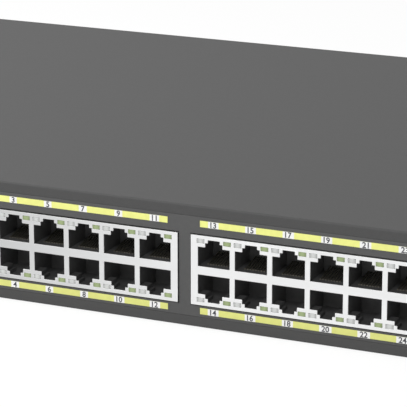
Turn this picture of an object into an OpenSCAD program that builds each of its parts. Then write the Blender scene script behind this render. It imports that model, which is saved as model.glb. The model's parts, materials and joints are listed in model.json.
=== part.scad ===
// Rackmount network switch, one rack unit high, with twenty-four ports in two blocks of stacked jacks.
// Sizes are millimetres. X runs along the front from left to right, Y from front to back, and Z is up.
// The modules draw with the front face at Y = 0 and the underside at Z = 0.

/* [Chassis] */
// Width of the chassis between the rack ears
chassis_w = 440; // [434:1:446]
// Depth from the front face to the rear edge of the cover
chassis_d = 250; // [244:1:320]
// Height of the chassis
chassis_h = 44.4; // [43.8:0.05:44.45]
// Thickness of the chassis sheet
sheet_t = 1; // [0.8:0.1:1.1]
// Outside radius of a fold
bend_r = 0.8; // [0.6:0.1:1.4]
// Outside radius of the grooved, sharper folds along the front seams
seam_r = 0.2; // [0.15:0.05:0.8]
// Height of the folded lips above and below the front panel
lip_h = 3.85; // [3.2:0.05:4.2]
// Gap between the lips and the front panel
lip_fit = 0.03; // [0.02:0.01:0.2]
// Depth of the folded lips
lip_d = 8; // [5:0.5:12]
// Depth of the front panel's flanges
panel_flange = 10; // [6:0.5:14]
// Depth of the rear panel's foot flange
rear_flange = 10; // [6:0.5:12]
// Height of the side flanges of the base
side_flange_h = 9; // [8:0.5:9.5]
// Gap at the ends of the side flanges
side_flange_gap = 4; // [2:0.5:10]
// Clearance between nested sheets
sheet_fit = 0.15; // [0.1:0.05:0.3]
// Diameter of the foot marks pressed into the base
foot_mark_d = 14; // [8:1:20]
// Depth of the foot marks
foot_mark_depth = 0.4; // [0.2:0.1:0.6]
// Distance of the foot marks from the edges of the base
foot_mark_inset = 34; // [20:1:60]
// Width of the cover's tabs over the rear panel
tab_w = 16; // [12:0.5:20]
// Height of the cover's tabs
tab_h = 8; // [7:0.5:10]
// Number of the cover's tabs
tab_count = 3; // [2:1:3]
// Distance from the fans to the middle of the first tab
tab_fan_gap = 24; // [16:1:30]
// Distance from the power inlet's flange to the middle of the last tab
tab_inlet_gap = 29; // [16:1:34]
// Cover screws in each side
side_screw_count = 3; // [2:1:3]
// Distance from the rack ear to the first side screw
side_screw_gap = 28; // [20:1:36]
// Distance from the rear edge to the last side screw
side_screw_rear = 40; // [32:1:50]

/* [Side vents] */
// Slots in a row of vents
vent_cols = 16; // [4:1:20]
// Rows of vents
vent_rows = 2; // [1:1:2]
// Spacing of the slots along the side
vent_pitch_y = 6.4; // [5:0.1:7]
// Spacing of the rows
vent_pitch_z = 14; // [13:0.5:15]
// Width of a slot
vent_w = 3.2; // [2:0.1:4]
// Length of a slot
vent_l = 10; // [6:0.5:12]
// Distance from the front face to the first slot
vent_front = 84; // [76:1:100]
// Height of the middle of the vents
vent_z = 25; // [24:0.5:26]

/* [Rack ears] */
// How far an ear reaches out from the side of the chassis
ear_reach = 21.3; // [18:0.1:24]
// Thickness of the ear plate
ear_t = 2; // [1.5:0.1:2.5]
// Distance of an ear's edges from the top and the bottom of the chassis
ear_gap = 0.4; // [0.2:0.1:1]
// Length of an ear along the side of the chassis
ear_side_l = 62; // [58:1:70]
// Radius of the ear's corners and fold
ear_r = 2.6; // [2.5:0.1:4]
// Distance from an ear's outer edge to the middle of its slots
slot_inset = 8.75; // [8:0.05:9.5]
// Distance between the slots of one ear
slot_pitch_z = 31.75; // [31:0.05:32]
// Width of a slot
slot_w = 6.8; // [6:0.1:7.2]
// Length of a slot
slot_l = 10.4; // [8:0.1:11]
// Distance between the ear screws along the side
ear_screw_pitch_y = 36; // [28:1:38]
// Distance between the ear screws in height
ear_screw_pitch_z = 20; // [16:0.5:21]
// Distance from the front face to the first ear screw
ear_screw_front = 16; // [12:0.5:18]

/* [Fasteners] */
// Shank diameter of the chassis screws
screw_d = 3; // [2.5:0.1:3.2]
// Head diameter of the chassis screws
screw_head_d = 5.6; // [5:0.1:6]
// Head height of the chassis screws
screw_head_h = 1.6; // [1.2:0.1:2]
// Length of a chassis screw behind what it holds
screw_reach = 4; // [3:0.5:5]
// Shank diameter of the ear screws
ear_screw_d = 4; // [3.5:0.1:4.2]
// Head diameter of the ear screws
ear_screw_head_d = 7.6; // [7:0.1:8]
// Head height of the ear screws
ear_screw_head_h = 2.2; // [1.8:0.1:2.4]
// Length of an ear screw behind the cover
ear_screw_reach = 2; // [1:0.5:3]
// Head diameter of the ground screw
ground_head_d = 8; // [7:0.5:9]
// Length of the ground screw behind the rear panel
ground_reach = 6; // [4:0.5:8]
// Distance from the power inlet's middle to the ground screw
ground_gap = 40; // [36:0.5:46]
// Height of the ground screw
ground_z = 18; // [14:0.5:24]
// Clearance between a shank and its hole
screw_fit = 0.1; // [0.05:0.05:0.2]
// Length of the cross recess in a screw head
recess_l = 3; // [2.4:0.1:3.2]
// Width of the cross recess
recess_w = 0.7; // [0.5:0.1:0.8]
// Depth of the cross recess
recess_depth = 0.8; // [0.6:0.1:1]

/* [Port blocks] */
// Columns of ports in a block
port_cols = 6; // [4:1:6]
// Spacing of the columns
port_pitch = 13.97; // [13.8:0.01:14.1]
// Width of a port opening
port_w = 12.1; // [11.9:0.05:12.3]
// Half the web between the two rows
port_web = 1.5; // [1.4:0.05:1.7]
// Height of the plug body's part of an opening
port_body_h = 7.15; // [7:0.05:7.25]
// Width of the latch channel of an opening
latch_w = 6.55; // [6.4:0.05:6.7]
// Height of the latch channel
latch_h = 1.55; // [1.4:0.05:1.65]
// Width of the latch tip's notch
tip_w = 4.55; // [4.4:0.05:4.7]
// Height of the latch tip's notch
tip_h = 1.2; // [1:0.05:1.3]
// Depth of a port
port_d = 13; // [12.5:0.1:14]
// Width of the frame at each end of a block
block_margin = 2.65; // [2.5:0.05:3]
// Height of the frame over the lamps of a block
block_rim = 1.24; // [1.1:0.01:1.4]
// Depth of a block behind the front face
block_d = 30; // [24:0.5:32]
// Distance between the two blocks
block_gap = 5.07; // [4.8:0.01:5.4]
// Thickness of the blocks' metal shield
shield_t = 0.4; // [0.3:0.05:0.45]
// How far the shields stand out of the front face
shield_proud = 0.5; // [0.45:0.05:0.8]
// Gap around a shield in the front panel
block_fit = 0.4; // [0.3:0.05:0.5]
// Clearance of the parts inside a shield
part_fit = 0.05; // [0.03:0.01:0.08]
// Contacts in a port
contact_count = 8; // [4:1:8]
// Spacing of the contacts
contact_pitch = 1.02; // [0.9:0.01:1.1]
// Width of a contact
contact_w = 0.46; // [0.35:0.01:0.5]
// Thickness of a contact
contact_t = 0.3; // [0.2:0.05:0.35]
// Distance from a port's mouth to its contacts
contact_front = 3; // [2.5:0.1:5]
// Length of a contact's foot
contact_foot = 1.2; // [0.8:0.1:2]
// Height of a contact at the back of a port
contact_rise = 2; // [1.5:0.1:2.1]
// Width of a port's lamp
lamp_w = 2.8; // [2.6:0.05:2.9]
// Height of a port's lamp
lamp_h = 1.5; // [1.4:0.05:1.6]
// Distance between the lamps of two neighbouring ports
lamp_web = 1.17; // [1.1:0.01:1.3]
// Distance from a port's shoulders to its lamps
lamp_gap = 1.36; // [1.3:0.01:1.42]
// Length of a lamp
lamp_l = 4; // [3:0.1:6]
// Wall between a lamp's end and the room for the plug's latch
catch_wall = 0.8; // [0.6:0.1:1.2]

/* [Printed strips] */
// Height of a strip
strip_h = 2.3; // [2.2:0.05:2.5]
// Distance from a block's top to the strip over it
strip_gap_top = 2.95; // [2.8:0.01:3.1]
// Distance from a block's bottom to the strip under it
strip_gap_bottom = 1.13; // [1:0.01:1.3]
// Distance of a strip's ends from the block's ends
strip_inset = 3.65; // [3:0.05:6]
// How far the strips sit left of the middle of their block
strip_shift = 0.3; // [0:0.05:0.6]
// Thickness of a strip
strip_t = 0.1; // [0.05:0.01:0.15]

/* [Uplink cage] */
// Distance from the port blocks to the cage
cage_gap = 15; // [13:0.5:16]
// Width of a cage opening
cage_w = 14; // [13.8:0.05:14.2]
// Height of a cage opening
cage_h = 8.95; // [8.8:0.05:9.1]
// Thickness of the cage's sheet
cage_t = 0.4; // [0.3:0.05:0.5]
// Height of the lamp strip between the cage's rows
cage_web = 3.6; // [3:0.1:4]
// Depth of the cage
cage_d = 47; // [44:0.5:50]
// Length of an edge connector
edge_connector_l = 9; // [7:0.5:10]
// Width of an edge connector
edge_connector_w = 11; // [9:0.5:12]
// Height of an edge connector
edge_connector_h = 6; // [5:0.5:7]
// Wall at the ends of an edge connector's slot
edge_slot_wall = 1; // [0.8:0.1:1.4]
// Height of an edge connector's slot
edge_slot_h = 1.8; // [1.4:0.1:2]
// Depth of an edge connector's slot
edge_slot_d = 6; // [4:0.5:6.5]
// Width of an uplink lamp
uplink_lamp_w = 3; // [2:0.1:3.4]
// Height of an uplink lamp
uplink_lamp_h = 1.2; // [0.8:0.1:1.4]
// Spacing of the two uplink lamps of a column
uplink_lamp_pitch = 6; // [5:0.1:7]

/* [Console port] */
// Distance from the right side to the console port
console_side_gap = 23.05; // [20:0.05:26]
// Distance from the cage to the console port
console_gap = 9; // [7:0.5:9.5]
// Width of the console port's shield
console_w = 16; // [15.4:0.1:16.4]
// Height of the console port's shield
console_h = 13.2; // [12.6:0.1:14]
// Depth of the console port behind the front face
console_d = 18; // [16:0.5:21]
// Height of the console port's floor over the board
console_floor = 1.4; // [1:0.1:1.6]

/* [Lamps and reset button] */
// Distance from the left side to the status lamps
status_inset = 26; // [25:0.5:30]
// Spacing of the status lamps
status_pitch = 7; // [6:0.5:8]
// Diameter of a status lamp
status_d = 2.6; // [2:0.1:3]
// Clearance of a status lamp in the front panel
status_fit = 0.1; // [0.05:0.05:0.2]
// How far a status lamp stands out of the front face
status_proud = 0.3; // [0.1:0.1:0.4]
// Distance from the front panel to the first light pipe's leg
pipe_leg_gap = 2; // [1.6:0.1:3]
// Spacing of the light pipes' legs
pipe_leg_pitch = 4; // [3.6:0.1:5]
// Distance from the left side to the reset button
reset_inset = 42; // [38:0.5:48]
// Diameter of the reset button
reset_d = 2.4; // [2:0.1:2.6]
// Clearance of the reset button in the front panel
reset_hole_fit = 0.3; // [0.2:0.05:0.4]
// Clearance of the reset button in its switch
plunger_fit = 0.05; // [0.03:0.01:0.08]
// Depth of the reset button below the front face
reset_recess = 0.5; // [0.3:0.1:0.7]
// Length of the reset button in its switch at rest
plunger_l = 1.2; // [1:0.1:1.6]
// Room behind the reset button
plunger_room = 1; // [0.8:0.1:1.2]
// Edge of the reset switch's square body
reset_body_w = 6; // [5:0.5:7]
// Depth of the reset switch's body
reset_body_d = 5; // [4:0.5:6]
// Distance from the front panel to the reset switch
reset_body_gap = 3; // [2.5:0.1:4]

/* [Main board] */
// Thickness of the boards
board_t = 1.6; // [1.4:0.1:1.8]
// Height of the standoffs under the boards
standoff_h = 5.85; // [5.6:0.05:6]
// Width of a standoff across its corners
standoff_d = 6.2; // [5.6:0.1:7]
// Distance between the main board and the power supply board
board_gap = 11.65; // [8:0.05:20]
// Distance from the sides to the main board
board_side_gap = 12; // [11:0.5:12.5]
// Distance from the front panel to the main board
board_front_gap = 1.2; // [0.6:0.1:1.6]
// Distance from a board's edges to its screws
board_screw_inset = 6; // [5:0.5:6.5]
// Distance from the front panel's flange to the first standoffs
standoff_gap = 2; // [1:0.5:4]
// Distance from the middle of the main board to its inner screws
board_screw_x = 60; // [50:1:66]
// Magnetics modules behind a block
magnetics_count = 3; // [2:1:3]
// Spacing of the magnetics modules
magnetics_pitch = 28; // [26:0.5:29]
// Width of a magnetics module
magnetics_w = 24; // [20:0.5:25]
// Depth of a magnetics module
magnetics_d = 14; // [12:0.5:16]
// Height of a magnetics module
magnetics_h = 6; // [4:0.5:8]
// Gap between a block and its magnetics
magnetics_gap = 6; // [4:0.5:8]
// Edge of the switch chip
chip_w = 27; // [20:0.5:30]
// Height of a chip
chip_h = 2.4; // [1.5:0.1:3]
// Distance from the front face to the chips' middle
chip_y = 92; // [86:0.5:96]
// Edge of the switch chip's heat sink
sink_w = 44; // [36:0.5:46]
// Height of the switch chip's heat sink
sink_h = 15; // [10:0.5:18]
// Thickness of a heat sink's base
sink_base = 3; // [2:0.5:4]
// Fins of a heat sink
sink_fins = 9; // [5:1:9]
// Thickness of a fin
fin_t = 1.2; // [0.8:0.1:1.4]
// Number of power controllers
poe_count = 3; // [1:1:3]
// Spacing of the power controllers
poe_pitch = 36; // [32:0.5:38]
// Distance from the switch chip to the first power controller
poe_gap = 58; // [50:0.5:60]
// Edge of a power controller
poe_w = 14; // [10:0.5:16]
// Edge of a power controller's heat sink
poe_sink_w = 26; // [20:0.5:28]
// Height of a power controller's heat sink
poe_sink_h = 12; // [8:0.5:14]
// Diameter of a board capacitor
cap_d = 8; // [6:0.5:9]
// Height of a board capacitor
cap_h = 12; // [8:0.5:16]
// Height of the crimp round a capacitor's can
crimp_h = 0.8; // [0.5:0.1:1.2]
// Distance from a capacitor's foot to the crimp
crimp_z = 1.6; // [1:0.1:3]
// Depth of the crimp
crimp_depth = 0.3; // [0.2:0.05:0.5]
// Number of board capacitors
cap_count = 6; // [3:1:8]
// Spacing of the capacitors
cap_pitch = 12; // [10:0.5:13]
// Distance from the switch chip to the first board capacitor
cap_gap = 50; // [40:1:56]

/* [Power supply] */
// Width of the power supply board
psu_w = 176; // [174:1:180]
// Depth of the power supply board
psu_d = 84; // [82:1:88]
// Distance from the right side to the power supply board
psu_side_gap = 14; // [12:0.5:16]
// Distance from the rear panel's flange to the power supply board
psu_rear_gap = 1; // [0.5:0.5:3]
// Thickness of the insulating sheet
insulator_t = 0.3; // [0.2:0.1:0.5]
// Distance of the insulating sheet's edges from the board's edges
insulator_inset = 2; // [1.5:0.5:4]
// Clearance of the insulating sheet round the standoffs
insulator_fit = 0.5; // [0.3:0.1:1]
// Distance from the middle of the power supply board to the transformer, along the board
transformer_u = -8; // [-12:0.5:-4]
// Distance from the middle of the power supply board to the transformer, across the board
transformer_v = 2; // [-4:0.5:8]
// Width of the transformer's core
core_w = 38; // [36:0.5:40]
// Height of the transformer's core
core_h = 28; // [24:0.5:30]
// Depth of the transformer's core
core_d = 20; // [16:0.5:24]
// Thickness of the core's outer limbs
core_limb = 6; // [5:0.5:7]
// Width of the core's middle limb
core_middle = 10; // [8:0.5:11]
// How far the winding stands out of the core
winding_proud = 7; // [5:0.5:8]
// Clearance of the winding in the core
winding_fit = 0.2; // [0.1:0.05:0.4]
// Distance from the middle of the power supply board to the first bulk capacitor, along the board
bulk_u = 34; // [30:0.5:38]
// Distance from the middle of the power supply board to the bulk capacitors, across the board
bulk_v = -20; // [-24:0.5:-18]
// Diameter of a bulk capacitor
bulk_d = 22; // [18:0.5:24]
// Height of a bulk capacitor
bulk_h = 30; // [24:0.5:32]
// Spacing of the bulk capacitors
bulk_pitch = 28; // [25:0.5:30]
// Length of a power supply heat sink
psu_sink_l = 50; // [40:1:54]
// Height of a power supply heat sink
psu_sink_h = 28; // [20:0.5:30]
// Thickness of a power supply heat sink's plate
psu_sink_t = 3; // [2:0.5:4]
// Depth of a power supply heat sink's fins
psu_fin_d = 6; // [4:0.5:7]
// Distance from the power supply's middle to its heat sinks, across the board
psu_sink_v = 28; // [26:0.5:30]
// Distance from the power supply's left edge to its heat sinks
psu_sink_inset = 12; // [10:0.5:14]
// Distance from the middle of the power supply board to the line choke, along the board
choke_u = 62; // [56:0.5:66]
// Distance from the middle of the power supply board to the line choke, across the board
choke_v = 12; // [8:0.5:14]
// Outside diameter of the line choke
choke_d = 22; // [18:0.5:24]
// Diameter of the choke's winding
choke_coil_d = 8; // [6:0.5:9]

/* [Power inlet] */
// Distance from the right side to the inlet's middle
inlet_inset = 46; // [42:0.5:52]
// Height of the inlet's middle
inlet_z = 22; // [20:0.5:23]
// Width of the inlet's flange
inlet_flange_w = 50; // [48:0.5:52]
// Height of the inlet's flange
inlet_flange_h = 24; // [22.5:0.5:26]
// Thickness of the inlet's flange
inlet_flange_t = 3; // [2.5:0.1:3.5]
// Corner radius of the inlet's flange
inlet_flange_r = 4; // [2:0.5:6]
// Width of the inlet's body
inlet_body_w = 27.4; // [27:0.1:28]
// Height of the inlet's body
inlet_body_h = 19.6; // [19:0.1:20]
// Depth of the inlet's body behind the rear panel's outer face
inlet_body_d = 18; // [17:0.5:20]
// Width of the inlet's socket
socket_w = 24.4; // [24:0.1:24.8]
// Height of the inlet's socket
socket_h = 16.8; // [16.4:0.1:17]
// Depth of the inlet's socket
socket_d = 17; // [16:0.5:17.5]
// Corner cut of the inlet's socket
socket_cut = 4; // [3:0.5:5]
// Width of a pin
pin_w = 2; // [1.8:0.1:2.2]
// Height of a pin
pin_h = 4; // [3.8:0.1:4.2]
// Length of a pin in the socket
pin_l = 14; // [12:0.5:14.5]
// Spacing of the outer pins
pin_pitch = 14; // [13.5:0.1:14.2]
// Height of the earth pin over the other two
pin_rise = 4; // [3.6:0.1:4.2]
// Distance between the inlet's screws
inlet_screw_pitch = 40; // [39:0.5:41]

/* [Fans] */
// Clearance over a fan
fan_top_gap = 1.2; // [0.4:0.1:2]
// Depth of a fan's frame
fan_d = 20; // [19:0.5:25]
// Least wall of a fan's duct
duct_wall = 1.2; // [1:0.1:1.6]
// Clearance under a fan
fan_fit = 0.2; // [0.1:0.05:0.3]
// Distance from a fan's edges to its screws
fan_screw_inset = 4; // [3.8:0.1:4.2]
// Corner radius of a fan's frame
fan_corner_r = 3; // [2:0.5:3.5]
// Distance from the left side to the first fan's middle
fan_inset = 46; // [40:0.5:50]
// Distance between the fans
fan_pitch = 50; // [44:0.5:54]
// Diameter of a fan's hub
hub_d = 20; // [18:0.5:21]
// Length of a fan's hub
hub_l = 13.5; // [12.5:0.5:14]
// Wall of a fan's hub
hub_wall = 1.2; // [1:0.1:1.6]
// Gap between a fan's hub and its motor mount
hub_gap = 1; // [0.6:0.1:1.4]
// Blades of a fan
blade_count = 7; // [5:1:9]
// Thickness of a blade
blade_t = 1; // [0.8:0.1:1.2]
// Length of a blade along the shaft
blade_l = 9.5; // [8:0.5:10]
// Radius of a blade's curve
blade_curve_r = 14; // [13.8:0.1:15]
// Start of a blade on its curve
blade_dip = 3.6; // [3:0.1:3.7]
// Gap between the blades and the duct
blade_fit = 0.5; // [0.4:0.1:0.8]
// Diameter of a fan's shaft
shaft_d = 2; // [1.6:0.1:2.4]
// Radial clearance of a fan's shaft
shaft_fit = 0.04; // [0.02:0.01:0.08]
// Diameter of a fan's bearing tube
bearing_d = 7; // [6:0.5:8]
// Gap between the bearing tube and the hub
bearing_gap = 1.5; // [1:0.1:2]
// Thickness of a fan's motor mount and struts
mount_t = 2.4; // [2:0.1:2.8]
// Width of a fan's struts
strut_w = 2.4; // [2:0.1:3]
// Length of a fan's stator
stator_l = 7; // [5:0.5:8]
// Gap between the stator and the hub
stator_gap = 0.6; // [0.4:0.1:0.8]
// Width of the slots between the stator's poles
stator_slot = 1.6; // [1.2:0.1:2]
// Open rings of the fan grille
grille_rings = 4; // [3:1:4]
// Radius of the grille's middle
grille_core_r = 4; // [3.5:0.1:4.2]
// Width of an open ring
grille_open = 2.4; // [2:0.1:2.6]
// Width of the metal between the rings
grille_web = 1.4; // [1.2:0.1:1.5]
// Width of the grille's spokes
grille_spoke = 2.4; // [2:0.1:3]

/* [Wiring] */
// Diameter of a power wire
wire_d = 2; // [1.4:0.1:2.4]
// Bend radius of a wire
wire_r = 4; // [3:0.5:5]
// Number of power wires
wire_count = 4; // [2:1:4]
// Spacing of the power wires
wire_pitch = 4; // [3:0.1:4.2]
// Height that the power wires rise over their headers
wire_rise = 9; // [7:0.5:12]
// Width of a board header
header_w = 18; // [17:0.5:22]
// Depth of a board header
header_d = 6; // [5:0.5:7]
// Height of a board header
header_h = 7; // [6:0.5:9]
// Distance from a board's edge to its header
header_inset = 1; // [0.6:0.1:2]
// Distance from the power supply's middle to its output header
header_u = 20; // [16:0.5:26]
// Distance from a fan's middle up to its lead
lead_rise = 14; // [12.5:0.5:15]
// Distance from the inlet to the line wires' ends
line_run = 7; // [5.5:0.5:8]

/* [Hidden] */
$fn = 40;
cut = 1;

// Heights
board_top = sheet_t + standoff_h + board_t;
port_shoulder = port_web + port_body_h;
latch_top = port_shoulder + latch_h;
tip_top = latch_top + tip_h;
lamp_z = port_shoulder + lamp_gap + lamp_h / 2;
block_h = 2 * (lamp_z + lamp_h / 2 + block_rim);
block_z = board_top + block_h / 2;
panel_z = lip_h + lip_fit;
panel_h = chassis_h - 2 * panel_z;
rear_top = chassis_h - sheet_t - sheet_fit;
side_screw_z = (side_flange_h + sheet_t) / 2;
tab_screw_z = chassis_h - (tab_h + sheet_t) / 2;

// Chassis planes
side_x = chassis_w / 2;
rack_w = chassis_w + 2 * ear_reach;
slot_pitch_x = rack_w - 2 * slot_inset;
ear_h = chassis_h - 2 * ear_gap;
inner_w = chassis_w - 2 * sheet_t;
base_w = inner_w - 2 * sheet_fit;
rear_y = chassis_d - sheet_t - sheet_fit;
inner_rear_y = rear_y - sheet_t;
rear_proud = rear_y + inlet_flange_t + screw_head_h - chassis_d;
y_shift = -(chassis_d + rear_proud - shield_proud) / 2;
side_screw_first = ear_side_l + side_screw_gap;
side_screw_pitch = (chassis_d - side_screw_rear - side_screw_first) / (side_screw_count - 1);
side_screw_y = [for (i = [0:side_screw_count - 1]) side_screw_first + i * side_screw_pitch];
ear_screw_y = [ear_screw_front, ear_screw_front + ear_screw_pitch_y];
ear_screw_z = [for (s = [-1, 1]) chassis_h / 2 + s * ear_screw_pitch_z / 2];

// Console port, uplink cage and port blocks, from the right side inwards
console_x = side_x - console_side_gap - console_w / 2;
console_z = board_top + console_floor - port_web;
cage_block_w = 2 * cage_w + 3 * cage_t;
cage_block_h = 2 * cage_h + 4 * cage_t + cage_web;
cage_x = console_x - (console_w + cage_block_w) / 2 - console_gap;
cage_col_x = [for (s = [-1, 1]) s * (cage_w + cage_t) / 2];
cage_row_z = [cage_t, 3 * cage_t + cage_h + cage_web];
cage_web_z = 2 * cage_t + cage_h;
uplink_lamp_x = [for (x = cage_col_x, s = [-1, 1]) x + s * uplink_lamp_pitch / 2];
block_w = 2 * block_margin + (port_cols - 1) * port_pitch + port_w;
block_right = cage_x - cage_block_w / 2 - cage_gap;
block_x = [block_right - block_gap - 1.5 * block_w, block_right - block_w / 2];
lamp_x = (port_pitch - lamp_web - lamp_w) / 2;
mouth_y = shield_t - shield_proud;
lamp_pocket_d = lamp_l - shield_t + part_fit;
catch_d = lamp_pocket_d + catch_wall;
strip_l = block_w - 2 * strip_inset;
strip_x = [for (x = block_x) x - strip_shift];
strip_z = [block_z + block_h / 2 + strip_gap_top, block_z - block_h / 2 - strip_gap_bottom - strip_h];

// Lamps and reset button
status_x = -side_x + status_inset;
reset_x = -side_x + reset_inset;
reset_z = board_top + reset_body_w / 2;
reset_body_y = sheet_t + reset_body_gap;

// Boards
board_w = chassis_w - 2 * board_side_gap;
board_y = sheet_t + board_front_gap;
psu_y = rear_y - rear_flange - psu_rear_gap - psu_d / 2;
board_rear_y = psu_y - psu_d / 2 - board_gap;
board_d = board_rear_y - board_y;
board_corner_x = board_w / 2 - board_screw_inset;
board_screws_at = [
    for (x = [-board_corner_x, board_corner_x])
        [x, max(lip_d, panel_flange) + standoff_gap + standoff_d / 2],
    for (x = [-board_corner_x, -board_screw_x, board_screw_x, board_corner_x])
        [x, board_rear_y - board_screw_inset]
];
poe_x = [for (i = [0:poe_count - 1]) poe_gap + i * poe_pitch];
psu_x = side_x - psu_side_gap - psu_w / 2;
psu_screws_at = [
    for (u = [-1, 1], v = [-1, 1])
        [psu_x + u * (psu_w / 2 - board_screw_inset), psu_y + v * (psu_d / 2 - board_screw_inset)]
];
transformer_at = [psu_x + transformer_u, psu_y + transformer_v];
window_w = (core_w - core_middle) / 2 - core_limb;
window_h = core_h - 2 * core_limb;

// Power inlet and fans
inlet_x = side_x - inlet_inset;
inlet_screw_x = [for (s = [-1, 1]) inlet_x + s * inlet_screw_pitch / 2];
socket_floor_y = rear_y + inlet_flange_t - socket_d;
fan_x = [-side_x + fan_inset, -side_x + fan_inset + fan_pitch];
fan_y = inner_rear_y - fan_d;
fan_w = chassis_h - 3 * sheet_t - fan_fit - fan_top_gap;
fan_z = 2 * sheet_t + fan_fit + fan_w / 2;
fan_bore_d = fan_w - 2 * duct_wall;
fan_screw_pitch = fan_w - 2 * fan_screw_inset;
tab_first = fan_x[1] + fan_w / 2 + tab_fan_gap;
tab_last = inlet_x - inlet_flange_w / 2 - tab_inlet_gap;
tab_x = [for (i = [0:tab_count - 1]) tab_first + i * (tab_last - tab_first) / (tab_count - 1)];
hub_y = mount_t + hub_gap;
hub_floor_y = hub_y + hub_l - hub_wall;
blade_r = fan_bore_d / 2 - blade_fit;

// Headers
header_y = board_rear_y - header_inset - header_d;
psu_header_x = psu_x - header_u;
psu_header_y = psu_y - psu_d / 2 + header_inset;

// Extrude a YZ profile along X, to both sides of the middle
module along_x(l) rotate([90, 0, 90]) linear_extrude(l, center = true) children();

// Extrude an XZ profile along Y, towards the back
module along_y(l) translate([0, l, 0]) rotate([90, 0, 0]) linear_extrude(l) children();

// Block that is centred on X and starts at the origin in Y and Z
module slab(w, d, h) translate([-w / 2, 0, 0]) cube([w, d, h]);

// Rectangle with four round corners
module rounded_rect(w, h, r) {
    square([w - 2 * r, h], center = true);
    square([w, h - 2 * r], center = true);
    for (x = [-1, 1], y = [-1, 1])
        translate([x * (w / 2 - r), y * (h / 2 - r)]) circle(r);
}

// Rectangle that stands on its base line and has its two upper corners round
module top_rounded(w, h, r) {
    translate([-w / 2, 0]) square([w, h - r]);
    translate([-w / 2 + r, 0]) square([w - 2 * r, h]);
    for (x = [-1, 1])
        translate([x * (w / 2 - r), h - r]) circle(r);
}

// Slot with round ends
module obround(w, h) {
    d = min(w, h);
    square([w - (w > h ? d : 0), h - (h > w ? d : 0)], center = true);
    for (s = [-1, 1])
        translate([s * (w - d) / 2, s * (h - d) / 2]) circle(d = d);
}

// Outline of a block whose lower front corner is round
module fold_half(d, h, r) {
    translate([r, 0]) square([d - r, h]);
    translate([0, r]) square([r, h - r]);
    translate([r, r]) circle(r);
}

// Sheet folded twice towards the back: flange, face and flange
module fold_profile(d, h, low_r, high_r) {
    difference() {
        union() {
            fold_half(d, h / 2, low_r);
            translate([0, h]) mirror([0, 1]) fold_half(d, h / 2, high_r);
        }
        translate([sheet_t, sheet_t]) square([d, h - 2 * sheet_t]);
    }
}

// Sheet folded once, with the fold at the origin
module corner_profile(d, h, t, r) {
    difference() {
        union() {
            translate([r, 0]) square([d - r, t]);
            translate([0, r]) square([t, h - r]);
            intersection() {
                translate([r, r]) circle(r);
                square(r);
            }
        }
        translate([t, t]) square([d, h]);
    }
}

// Pan-head screw whose shank points to the back from the origin, with its head in front
module screw(shank_d, shank_l, head_d, head_h) {
    difference() {
        union() {
            rotate([-90, 0, 0]) cylinder(d = shank_d, h = shank_l);
            rotate([90, 0, 0]) cylinder(d = head_d, h = head_h / 2);
            translate([0, -head_h / 2, 0]) rotate([90, 0, 0])
                cylinder(d1 = head_d, d2 = head_d - head_h, h = head_h / 2);
        }
        for (turn = [0, 90])
            rotate([0, turn, 0]) translate([-recess_l / 2, -head_h - cut, -recess_w / 2])
                cube([recess_l, recess_depth + cut, recess_w]);
    }
}

module chassis_screw(held_t) screw(screw_d, held_t + screw_reach, screw_head_d, screw_head_h);

// Holes across the chassis for the cover's side screws
module side_screw_holes()
    for (y = side_screw_y)
        translate([0, y, side_screw_z]) rotate([0, 90, 0])
            cylinder(d = screw_d + 2 * screw_fit, h = chassis_w + 2 * cut, center = true);

// Holes across the chassis for the ear screws
module ear_screw_holes()
    for (y = ear_screw_y, z = ear_screw_z)
        translate([0, y, z]) rotate([0, 90, 0])
            cylinder(d = ear_screw_d + 2 * screw_fit, h = rack_w, center = true);

module base_pan() {
    flange_y = lip_d + side_flange_gap;
    flange_l = rear_y - rear_flange - side_flange_gap - flange_y;
    color("dimgray") difference() {
        union() {
            along_x(base_w) fold_profile(lip_d, lip_h, bend_r, seam_r);
            translate([0, lip_d, 0]) slab(base_w, rear_y - lip_d, sheet_t);
            for (side = [-1, 1])
                translate([side * (base_w - sheet_t) / 2, flange_y, 0])
                    slab(sheet_t, flange_l, side_flange_h);
        }
        side_screw_holes();
        for (side = [-1, 1], y = [foot_mark_inset, rear_y - foot_mark_inset])
            translate([side * (base_w / 2 - foot_mark_inset), y, -cut])
                cylinder(d = foot_mark_d, h = foot_mark_depth + cut);
    }
}

// Window in the front panel for a shielded block
module panel_window(w, h) square([w + 2 * block_fit, h + 2 * block_fit], center = true);

module front_panel() {
    color("gray") difference() {
        translate([0, 0, panel_z]) along_x(base_w) fold_profile(panel_flange, panel_h, seam_r, seam_r);
        translate([0, -cut, 0]) along_y(sheet_t + 2 * cut) {
            for (x = block_x)
                translate([x, block_z]) panel_window(block_w, block_h);
            translate([cage_x, board_top + cage_block_h / 2]) panel_window(cage_block_w, cage_block_h);
            translate([console_x, board_top + console_h / 2]) panel_window(console_w, console_h);
            for (i = [-1:1])
                translate([status_x, block_z + i * status_pitch]) circle(d = status_d + 2 * status_fit);
            translate([reset_x, reset_z]) circle(d = reset_d + 2 * reset_hole_fit);
        }
    }
}

// Open rings and spokes in front of a fan
module grille_rings_cut() {
    difference() {
        for (i = [0:grille_rings - 1])
            difference() {
                circle(grille_core_r + i * (grille_open + grille_web) + grille_open);
                circle(grille_core_r + i * (grille_open + grille_web));
            }
        for (turn = [45, 135])
            rotate(turn) square([fan_w, grille_spoke], center = true);
    }
}

// Places of a fan's four screws
module fan_corners()
    for (x = [-1, 1], z = [-1, 1])
        translate([x * fan_screw_pitch / 2, z * fan_screw_pitch / 2]) children();

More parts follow.
